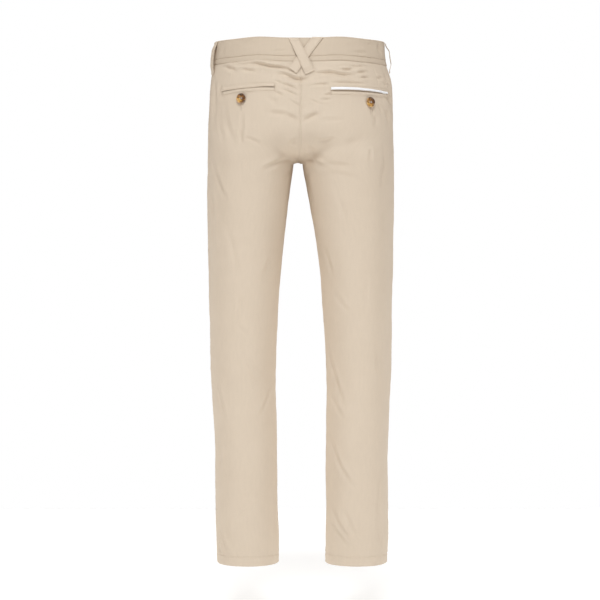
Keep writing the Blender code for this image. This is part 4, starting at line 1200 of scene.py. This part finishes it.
def add_side_pieces():
    """The pieces seen in the slanted mouths of the front pockets."""
    made = []
    s = np.linspace(float(side_station(MOUTH_LOW_Z - 0.012)), 2, 70)[:, None]
    for side, name in SIDES:
        u = np.linspace(0, 1, 30) * (mouth_share(s) + 0.055)
        points = panel_points(side, -1, u, s + 0 * u)
        normals = -normals_of(points) * side
        under = smooth((u - mouth_share(s) + 0.012) / 0.012)
        below = smooth((MOUTH_LOW_Z + 0.004 - side_height(s)) / 0.010)
        push = slackness(points) - 0.0006 - 0.0006 * bump(row_lengths(points), SEAM_WIDTH)
        push = push - (PANEL_WALL + 0.0004) * np.maximum(under, below)
        outer = points + normals * push[..., None]
        outer[-1] += np.array((0, 0, TUCK)) - TUCK_DEPTH * normals[-1]
        inner = outer - normals * SIDE_PIECE_WALL
        made.append(shell("cloth_side_piece_" + name, outer, inner, TWILL, "side_piece_" + name, side > 0))
    return made


def fly_strip(name, replaced, half, depth, wall):
    """A flat strip behind the closed fly, with the form that it follows and that form's normals."""
    u = 1 + np.linspace(-half, half, 15) / CENTRE_REACH
    s = np.linspace(float(side_station(FLY_BOTTOM_Z - 0.006)), 2, 90)[:, None] + 0 * u
    points = panel_points(1, -1, u + 0 * s, s)
    normals = -normals_of(points)
    points[-1] += (0, 0, TUCK)
    outer = points - normals * depth
    outer, inner = round_edges(outer, outer - normals * wall, edge_distance(outer), wall / 2)
    return shell(name, outer, inner, TWILL, replaced, True), points, normals


def zip_teeth(line, out):
    """The teeth along a line, turn about on either side of it."""
    lengths = line_lengths(line)
    across = np.array((1.0, 0.0, 0.0))
    corners = np.array([(x, y, z) for x in (-1, 1) for y in (-1, 1) for z in (-1, 1)]) / 2 * TOOTH
    sides = ((0, 1, 3, 2), (4, 6, 7, 5), (0, 4, 5, 1), (2, 3, 7, 6), (0, 2, 6, 4), (1, 5, 7, 3))
    points, faces = [], []
    for i, distance in enumerate(np.arange(0.004, lengths[-1] - 0.012, TOOTH_PITCH)):
        up = along(distance, lengths, out)
        centre = along(distance, lengths, line) + across * (TOOTH_SHIFT if i % 2 else -TOOTH_SHIFT)
        faces += [tuple(len(points) + k for k in side) for side in sides]
        points.extend(centre + corners @ np.stack([across, unit(np.cross(up, across)), up]))
    teeth = new_object("zip_teeth", points, faces, BRASS)
    teeth.data.shade_flat()
    return teeth


def add_zip():
    """The zip's tape with its teeth, and the shield behind it."""
    tape, points, normals = fly_strip("zip_tape_cloth", "zip_tape", TAPE_HALF, TAPE_DEPTH, TAPE_WALL)
    shield, _, _ = fly_strip("fly_shield_cloth", "fly_shield", SHIELD_HALF, SHIELD_DEPTH, SHIELD_WALL)
    middle = points.shape[1] // 2
    teeth = zip_teeth(points[:, middle] - normals[:, middle] * TEETH_DEPTH, normals[:, middle])
    return tape, shield, teeth


def waist_ring(name, ends, proud, wall, rows, creases, unevenness):
    """A band round the waist whose left end stands out over its right end, and its grid."""
    bottom, top = ends
    reach = read(BODY, "half_width", 0.0)
    start, end = -math.pi / 2 - LAP_WIDTH / reach, 1.5 * math.pi + UNDERLAP / reach
    angle = np.linspace(start, end, 560)
    share = crowded(rows, 1.3)
    lift = edge_lift(angle)
    z = bottom + share[:, None] * (top - bottom) + lift
    distance = (angle - start) * reach
    lapped = BAND_LAP * (1 - smooth((distance - LAP_WIDTH - UNDERLAP - LAP_REST) / LAP_RETURN))
    form = hip_point(angle, z)
    push = crease_push(form[..., 0], form[..., 2], creases) * (np.sin(angle) > 0)
    push = push + unevenness * swell(form, 0.060, 12) + unevenness / 3 * swell(form, 0.018, 13)
    edges = bump(z - lift - bottom, 0.005) + 0.6 * bump(top - z + lift, 0.004)
    push = push + BAND_RIPPLE * edges * waves(distance, BAND_RIPPLE_PITCH, form, 2.2, 0.03, 14)
    push = push - BAND_GROOVE * bump(z - lift - bottom - 0.0024, 0.0007)
    outer = hip_point(angle, z, proud + lapped + push)
    inner = hip_point(angle, z, proud + lapped + push - wall)
    outer, inner = round_edges(outer, inner, edge_distance(outer), 0.0013)
    # the band and strip take the darker cloth, which is painted shade
    return shell("cloth_" + name, outer, inner, TWILL_SHADED_BAND, name), (share, outer)


def ring_row(ring, height):
    """A row for stitches along a waist ring at a share of its height."""
    share, grid = ring
    place = np.interp(height, share, np.arange(len(share)))
    low = int(place)
    count = grid.shape[1]
    keep = slice(int(0.004 * count), int(0.996 * count))
    line = grid[low] * (low + 1 - place) + grid[low + 1] * (place - low)
    return laid(line[keep], normals_of(grid)[low, keep])


def loop_seat(z):
    """How far a loop's inner face stands out so that it clears the band, strip and panel."""
    return np.interp(z, (STRIP_BOTTOM - 0.006, BAND_BOTTOM - 0.002), (0.0007, 0.0017))


def add_loop(name, angle, z, seat, wall, ribs=0.0):
    """A loop's wall on a grid of angles and heights, with round edges, and its stitches."""
    form = hip_point(angle, z, seat + wall)
    width, length = row_lengths(form), column_lengths(form)
    push = 0.00025 * swell(form, 0.022, 21) + ribs * np.sin(width * 2 * math.pi / LOOP_RIB_PITCH)
    for edge in (width, width[:, -1:] - width):
        push = push - LOOP_GROOVE * bump(edge - LOOP_ROW, 0.0006)
    push = push + LOOP_FOLD * bump(np.minimum(length, length[-1:] - length), 0.0035)
    outer = hip_point(angle, z, seat + wall + push)
    inner = hip_point(angle, z, seat + 0.2 * push)
    outer, inner = round_edges(outer, inner, edge_distance(outer), 0.0009)
    made = shell("cloth_" + name, outer, inner, TWILL, name)
    normals = normals_of(outer)
    last = outer.shape[1] - 1
    near = max(1, int(round(LOOP_ROW / LOOP_WIDTH * last)))
    places = [(slice(3, -3), near), (slice(3, -3), last - near)]
    places += [(5, slice(near, last + 1 - near)), (-6, slice(near, last + 1 - near))]
    return made, stitches("stitches_" + name, [laid(outer[place], normals[place]) for place in places])


def add_cross_loops():
    """The two loops that cross at the centre back."""
    made = []
    share = np.linspace(0, 1, 72)[:, None]
    for name, top, bottom, over, reach in CROSS_LOOPS:
        top = np.array(top)
        run = np.array(bottom) - top
        length = np.linalg.norm(run)
        side = np.array((-run[1], run[0])) / length
        w = np.linspace(-0.5, 0.5, 31) * np.interp(share, (0, 1), CROSS_WIDTHS)
        start = (reach - top[1] - w[:1] * side[1]) / run[1]
        t = start + share * (1 - start)
        x = top[0] + t * run[0] + w * side[0]
        z = top[1] + t * run[1] + w * side[1]
        crossing = 1 - smooth((np.abs(t - CROSSING) * length - CROSSING_REACH) / CROSSING_FALL)
        below = smooth((STRIP_BOTTOM + 0.001 - z) / 0.006)
        seat = loop_seat(z) + over * CROSSING_LIFT * crossing + below * np.maximum(relief(x, z), -0.0005)
        made.append(add_loop(name, back_angle(x, z), z, seat, CROSS_WALL, 0.0 if over else LOOP_RIB))
    return made


def add_upright_loops():
    """The loops at the sides and on the front."""
    made = []
    t = np.linspace(0, 1, 72)[:, None]
    for name, degrees, top, bottom, stand_off in UPRIGHT_LOOPS:
        centre = math.radians(degrees)
        z = top + t * (bottom - top)
        ahead = hip_ring(centre + 0.01, z[:, 0]) - hip_ring(centre - 0.01, z[:, 0])
        speed = np.linalg.norm(ahead, axis=-1)[:, None] / 0.02
        angle = centre + np.linspace(-0.5, 0.5, 31) * LOOP_WIDTH / speed
        bulge = stand_off * smooth(t / 0.30) * smooth((1 - t) / 0.30)
        made.append(add_loop(name, angle, z + 0 * angle, loop_seat(z) + bulge + 0 * angle, UPRIGHT_WALL))
    return made


def add_welt(part, name):
    """A welt of a back pocket, which rolls in to the opening and gapes at its ends."""
    t = np.linspace(0, 1, 120)
    x, line = opening(name, t)
    near, far = (np.interp(t, WELT_SHARES, heights) for heights in WELTS[part, name])
    across = np.linspace(0, 1, 16)[:, None]
    z = line + near + across * (far - near)
    rise = WELT_RISE * (1 - 0.55 * smooth((across - 0.55) / 0.45))
    rise = rise - WELT_ROLL * bump(across * (far - near), 0.0011)
    x = x + 0 * z
    angle = back_angle(x, z)
    form = hip_point(angle, z)
    rise = rise + 0.00018 * swell(form, 0.020, 31) + relief(x, z) + pocket_hollow(form, name)
    outer = hip_point(angle, z, rise)
    inner = hip_point(angle, z, rise - WELT_WALL)
    outer, inner = round_edges(outer, inner, edge_distance(outer), 0.0007)
    finish = WHITE if (part, name) == ("upper", "right") else TWILL
    turned = (name == "left") == (part == "upper")
    return shell(f"cloth_back_welt_{part}_{name}", outer, inner, finish, f"back_welt_{part}_{name}", turned)


def pocket_stitches(name):
    """Bars of close stitches at both ends of a back pocket, and a row above and below its welts."""
    rows = []
    inner_end, outer_end, _ = POCKETS[name]
    toward = math.copysign(1, outer_end[0] - inner_end[0])
    for end, shifts in ((inner_end, INNER_BARS), (outer_end, OUTER_BARS)):
        z = np.linspace(end[1] - BAR_HALF, end[1] + BAR_HALF, 12)
        for shift in shifts:
            rows.append(laid(*back_place(end[0] + toward * shift, z), BAR_LIFT, 1.1 * THREAD))
    x, line = opening(name, np.linspace(0.01, 0.99, 80))
    for rise in POCKET_ROWS:
        rows.append(laid(*back_place(x, line + rise), 0.0001))
    return stitches("stitches_pocket_" + name, rows)


# ---------------------------------------------------------------- buttons


def frame_at(centre, normal):
    """The matrix that takes +Z to a normal at a place, with +Y as near to up as can be."""
    normal = Vector(normal).normalized()
    right = Vector((0, 0, 1)).cross(normal).normalized()
    turned = Matrix((right, normal.cross(right), normal)).transposed().to_4x4()
    return np.array(Matrix.Translation(Vector(centre)) @ turned)


def placed(points, place):
    """Points moved by a matrix."""
    return points @ place[:3, :3].T + place[:3, 3]


def button_face(radius, rim, holes, turns):
    """Rings of a button's dished face out to its rim, sunk at the four holes."""
    hole_radius = radius * HOLE_SIZE
    rings = []
    for r in [*np.linspace(0, rim * 0.42, 26)[1:], *np.linspace(rim * 0.42, rim, 12)[1:]]:
        x, y = r * np.cos(turns), r * np.sin(turns)
        nearest = np.min([np.hypot(x - i * holes, y - j * holes) for i in (-1, 1) for j in (-1, 1)], axis=0)
        sunk = HOLE_DEPTH * smooth((hole_radius * 1.25 - nearest) / (hole_radius * 0.5))
        z = BUTTON_THICK - BUTTON_DISH - 0.0002 * math.sin(math.pi * r / rim) - sunk
        rings.append(np.stack([x, y, z], axis=-1))
    return rings


def button_rim(radius, rim, turns):
    """Rings of a button's rolled rim, from its dished face out and round to its back."""
    width, thick = radius - rim, BUTTON_THICK
    profile = [(rim + width * (0.5 - 0.5 * math.cos(a)), thick - BUTTON_DISH * (1 - math.sin(a)))
               for a in np.linspace(0.15, math.pi / 2, 7)]
    profile += [(rim + width * (0.5 + 0.5 * math.sin(a)), thick * (0.62 + 0.38 * math.cos(a)))
                for a in np.linspace(0.15, math.pi / 2, 8)]
    profile += [(radius * 0.985, thick * 0.42), (radius * 0.93, thick * 0.18), (radius * 0.80, 0.0)]
    return [np.stack([r * np.cos(turns), r * np.sin(turns), z + 0 * turns], axis=-1) for r, z in profile]


def add_button(name, centre, normal, radius):
    """A dished four-hole button with a rolled rim, and the thread that holds it."""
    rim, holes = radius * RIM_PLACE, radius * HOLE_PLACE
    sides = 96
    turns = np.arange(sides) * 2 * math.pi / sides
    rings = button_face(radius, rim, holes, turns) + button_rim(radius, rim, turns)
    middle = BUTTON_THICK - BUTTON_DISH
    points = np.concatenate([*rings, [(0, 0, middle), (0, 0, 0)]])
    back, last = len(points) - 1, (len(rings) - 1) * sides
    faces = [face[::-1] for face in ring_faces(len(rings), sides)]
    faces += fan(back - 1, 0, sides) + fan(back, last, sides, True)
    place = frame_at(centre, normal)
    button = new_object(name + "_horn", placed(points, place), faces, HORN, name, points[:, :2] / radius)
    return button, button_thread(name, place, holes, middle)


def button_thread(name, place, holes, height):
    """Two bundles of thread over the holes of a button."""
    sides = 6
    points, faces = [], []
    y = np.linspace(-holes, holes, 15)
    lift = 0.0007 * np.cos(y / holes * math.pi / 2) ** 0.5 - 0.0006
    for x in (-holes, holes):
        for aside in BUNDLE:
            line = placed(np.stack([x + aside + 0 * y, y, height + lift], axis=-1), place)
            run = unit(np.gradient(line, axis=0))
            side = unit(np.cross(run, place[:3, 2]))
            first = len(points)
            for centre, a, b in zip(line, side, np.cross(side, run)):
                points.extend(circle(centre, a, b, BUNDLE_RADIUS, sides))
            faces += ring_faces(len(line), sides, first)
            faces.append(tuple(first + i for i in reversed(range(sides))))
            faces.append(tuple(len(points) - sides + i for i in range(sides)))
    return new_object(name + "_thread", points, faces, THREAD_WHITE)


def slit_outline(half, gap):
    """Points x, y round a slit along y with round ends, anticlockwise from its right side's foot."""
    y = np.linspace(-half + gap, half - gap, 60)
    cap = np.linspace(0, math.pi, 9)[1:-1]
    right = np.stack([gap + 0 * y, y], axis=-1)
    top = np.stack([gap * np.cos(cap), half - gap + gap * np.sin(cap)], axis=-1)
    return np.concatenate([right, top, -right, -top])


def buttonhole(name, centre, up, normal, length):
    """A buttonhole's two lips of close stitches round a slit."""
    sides = 8
    path = slit_outline(length / 2, SLIT)
    line = centre + path[:, :1] * np.cross(normal, up) + path[:, 1:] * up
    run = unit(np.roll(line, -1, axis=0) - np.roll(line, 1, axis=0))
    wound = 0.00042 + 0.00007 * np.sin(np.arange(len(line)) * 2.4)
    rings = [circle(middle, side, 0.7 * normal, radius, sides)
             for middle, side, radius in zip(line, unit(np.cross(run, normal)), wound)]
    return new_object(name, np.concatenate(rings), ring_faces(len(rings), sides, closed=True), THREAD_BEIGE)


def add_back_button(name, x, z):
    """The button of a back pocket, with its thread and its buttonhole."""
    x, z = np.array(x), np.array(z)
    angle = back_angle(x, z)
    centre = hip_point(angle, z, float(relief(x, z)) + BUTTON_GAP)
    button, thread = add_button(name, centre, hip_normal(angle, z), BUTTON_RADIUS)
    low = z - BUTTONHOLE_DROP
    up = unit(back_place(x, low + 0.006)[0] - back_place(x, low - 0.006)[0])
    centre, face = back_place(x, low)
    hole = buttonhole(name + "_hole", centre + face * 0.0002, up, face, BUTTONHOLE)
    return button, thread, hole


def add_waist_button():
    """The button of the waistband, with its thread and its buttonhole."""
    angle, z = np.array(-math.pi / 2), -FRONT_DIP
    normal = hip_normal(angle, z)
    centre = hip_point(angle, z, WAIST_BUTTON_OUT)
    button, thread = add_button("button_waist", centre, normal, WAIST_BUTTON_RADIUS)
    side = unit(np.cross((0.0, 0.0, 1.0), normal))
    centre = hip_point(angle, z, WAIST_BUTTON_OUT - 0.0004) + side * WAIST_HOLE_ASIDE
    return button, thread, buttonhole("button_waist_hole", centre, side, normal, WAIST_BUTTONHOLE)


# ---------------------------------------------------------------- the garment


def layer_area(piece):
    """Half of a thin piece's whole surface, which is its area as one layer of cloth."""
    areas = np.zeros(len(piece.data.polygons))
    piece.data.polygons.foreach_get("area", areas)
    return float(areas.sum() / 2)


def declare(piece):
    """Work out the flat size of a piece from its UVs in metres, and the area of its cut; neither is kept.
    """
    uvs = np.zeros(2 * len(piece.data.loops))
    piece.data.uv_layers["cut"].data.foreach_get("uv", uvs)
    width, length = map(float, np.ptp(uvs.reshape(-1, 2), axis=0))
    area = min(max(layer_area(piece), 0.3 * width * length), width * length)


def add_garment():
    """Every piece of the trousers; the flat sizes of the sheets of cloth are worked out but not kept."""
    cloth = {key: add_panel(*key, panel) for key, panel in PANELS.items()}
    on_cloth = {key: [panel_stitches(*key, panel)] for key, panel in PANELS.items()}
    bags = add_bags()
    side_pieces = add_side_pieces()
    tape, shield, teeth = add_zip()
    band, band_ring = waist_ring("waistband", (BAND_BOTTOM, BAND_TOP), BAND_PROUD, BAND_WALL, 22,
                                 BAND_CREASES, 0.00025)
    strip, strip_ring = waist_ring("waist_strip", (STRIP_BOTTOM - STRIP_OVERHANG, STRIP_TOP), STRIP_PROUD,
                                   STRIP_WALL, 13, (), 0.00012)
    on_band = [
        strip,
        stitches("stitches_band", [ring_row(band_ring, height) for height in BAND_ROWS]),
        stitches("stitches_strip", [ring_row(strip_ring, STRIP_ROW)]),
    ]
    loops = add_cross_loops() + add_upright_loops()
    for side, name in SIDES:
        on_cloth[side, 1] += [add_welt("upper", name), add_welt("lower", name)]
    for side, name in SIDES:
        on_cloth[side, 1].append(pocket_stitches(name))
    for (side, _), place in zip(SIDES, BACK_BUTTONS):
        on_cloth[side, 1] += add_back_button(*place)
    on_band += add_waist_button()

    for key, piece in cloth.items():
        declare(piece)
    for piece in side_pieces + bags:
        declare(piece)
    declare(band)
    for loop, seams in loops:
        declare(loop)
    declare(shield)
    declare(tape)


def finish_slider():
    """The zip's slider is the frame's own solid, in brass."""
    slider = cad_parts["zip_slider"]
    slider.data.materials.clear()
    slider.data.materials.append(BRASS[0])


# ---------------------------------------------------------------- camera, light and floor

LENS = 126
CAMERA_PLACE = (0.0016, 4.2, -0.3766)
CAMERA_TILT = 0.0279  # how far it looks down
FLOOR_Z = -1.13
KEY_POWER = 66
LOW_POWER = 8.5
COOL = (0.90, 0.955, 1.0)  # the lamps' colour
WARM = (1.0, 0.83, 0.70, 1)  # the surround's
SURROUND_STRENGTH = 0.27


def add_camera():
    """The photograph's view, square to the back from behind."""
    data = bpy.data.cameras.new("camera")
    data.lens = LENS
    data.sensor_width = 36
    data.dof.use_dof = False
    camera = bpy.data.objects.new("camera", data)
    camera.location = CAMERA_PLACE
    camera.rotation_euler = (math.pi / 2 - CAMERA_TILT, 0, math.pi)
    bpy.context.scene.collection.objects.link(camera)
    bpy.context.scene.camera = camera


def add_lamp(name, place, target, size, energy, spread):
    """A square area lamp aimed at a target, with its spread in degrees."""
    data = bpy.data.lights.new(name, "AREA")
    data.size = size
    data.energy = energy
    data.color = COOL
    data.spread = math.radians(spread)
    lamp = bpy.data.objects.new(name, data)
    lamp.location = place
    lamp.rotation_euler = (Vector(target) - Vector(place)).to_track_quat("-Z", "Y").to_euler()
    bpy.context.scene.collection.objects.link(lamp)


def add_lamps():
    """A high lamp and two low ones behind the garment, and the same before it."""
    for name, way in (("back", 1), ("front", -1)):
        add_lamp(name + "_key", (0.1 * way, 1.8 * way, 2.2), (0, 0.1 * way, -0.2), 0.9, KEY_POWER, 180)
        for side, _ in SIDES:
            place, target = (1.8 * side, 1.5 * way, -0.9), (0.1 * side, 0, -0.52)
            add_lamp(f"{name}_low_{side}", place, target, 1.1, LOW_POWER, 120)


def add_surround():
    """A surround that looks white and lights softly in a warm tone."""
    world = bpy.data.worlds.new("studio")
    bpy.context.scene.world = world
    world.use_nodes = True
    tree = world.node_tree
    tree.nodes.clear()
    seen = node(tree, "ShaderNodeLightPath").outputs["Is Camera Ray"]
    light = node(tree, "ShaderNodeBackground", {"Color": WARM, "Strength": SURROUND_STRENGTH})
    backdrop = node(tree, "ShaderNodeBackground", {"Color": (1.0, 1.0, 1.0, 1), "Strength": 1.0})
    both = node(tree, "ShaderNodeMixShader", {0: seen, 1: light.outputs[0], 2: backdrop.outputs[0]})
    node(tree, "ShaderNodeOutputWorld", {"Surface": both.outputs[0]})


def add_floor():
    """A pale floor, a little below the hems."""
    bpy.ops.mesh.primitive_plane_add(size=3.4, location=(0, 0, FLOOR_Z))
    floor = bpy.context.object
    floor.name = "floor"
    paint, tree, shader = new_material("pale_floor", 0.9, Emission_Color=(1.0, 1.0, 1.0, 1),
                                       Emission_Strength=0.22)
    specks = noise(tree, object_place(tree), 6)
    tone = mixed(tree, specks, (0.90, 0.90, 0.89, 1), (0.94, 0.94, 0.93, 1))
    tree.links.new(tone, shader["Base Color"])
    floor.data.materials.append(paint)


add_garment()
finish_slider()
add_camera()
add_surround()
add_floor()
add_lamps()
bpy.context.scene.view_settings.view_transform = "Standard"
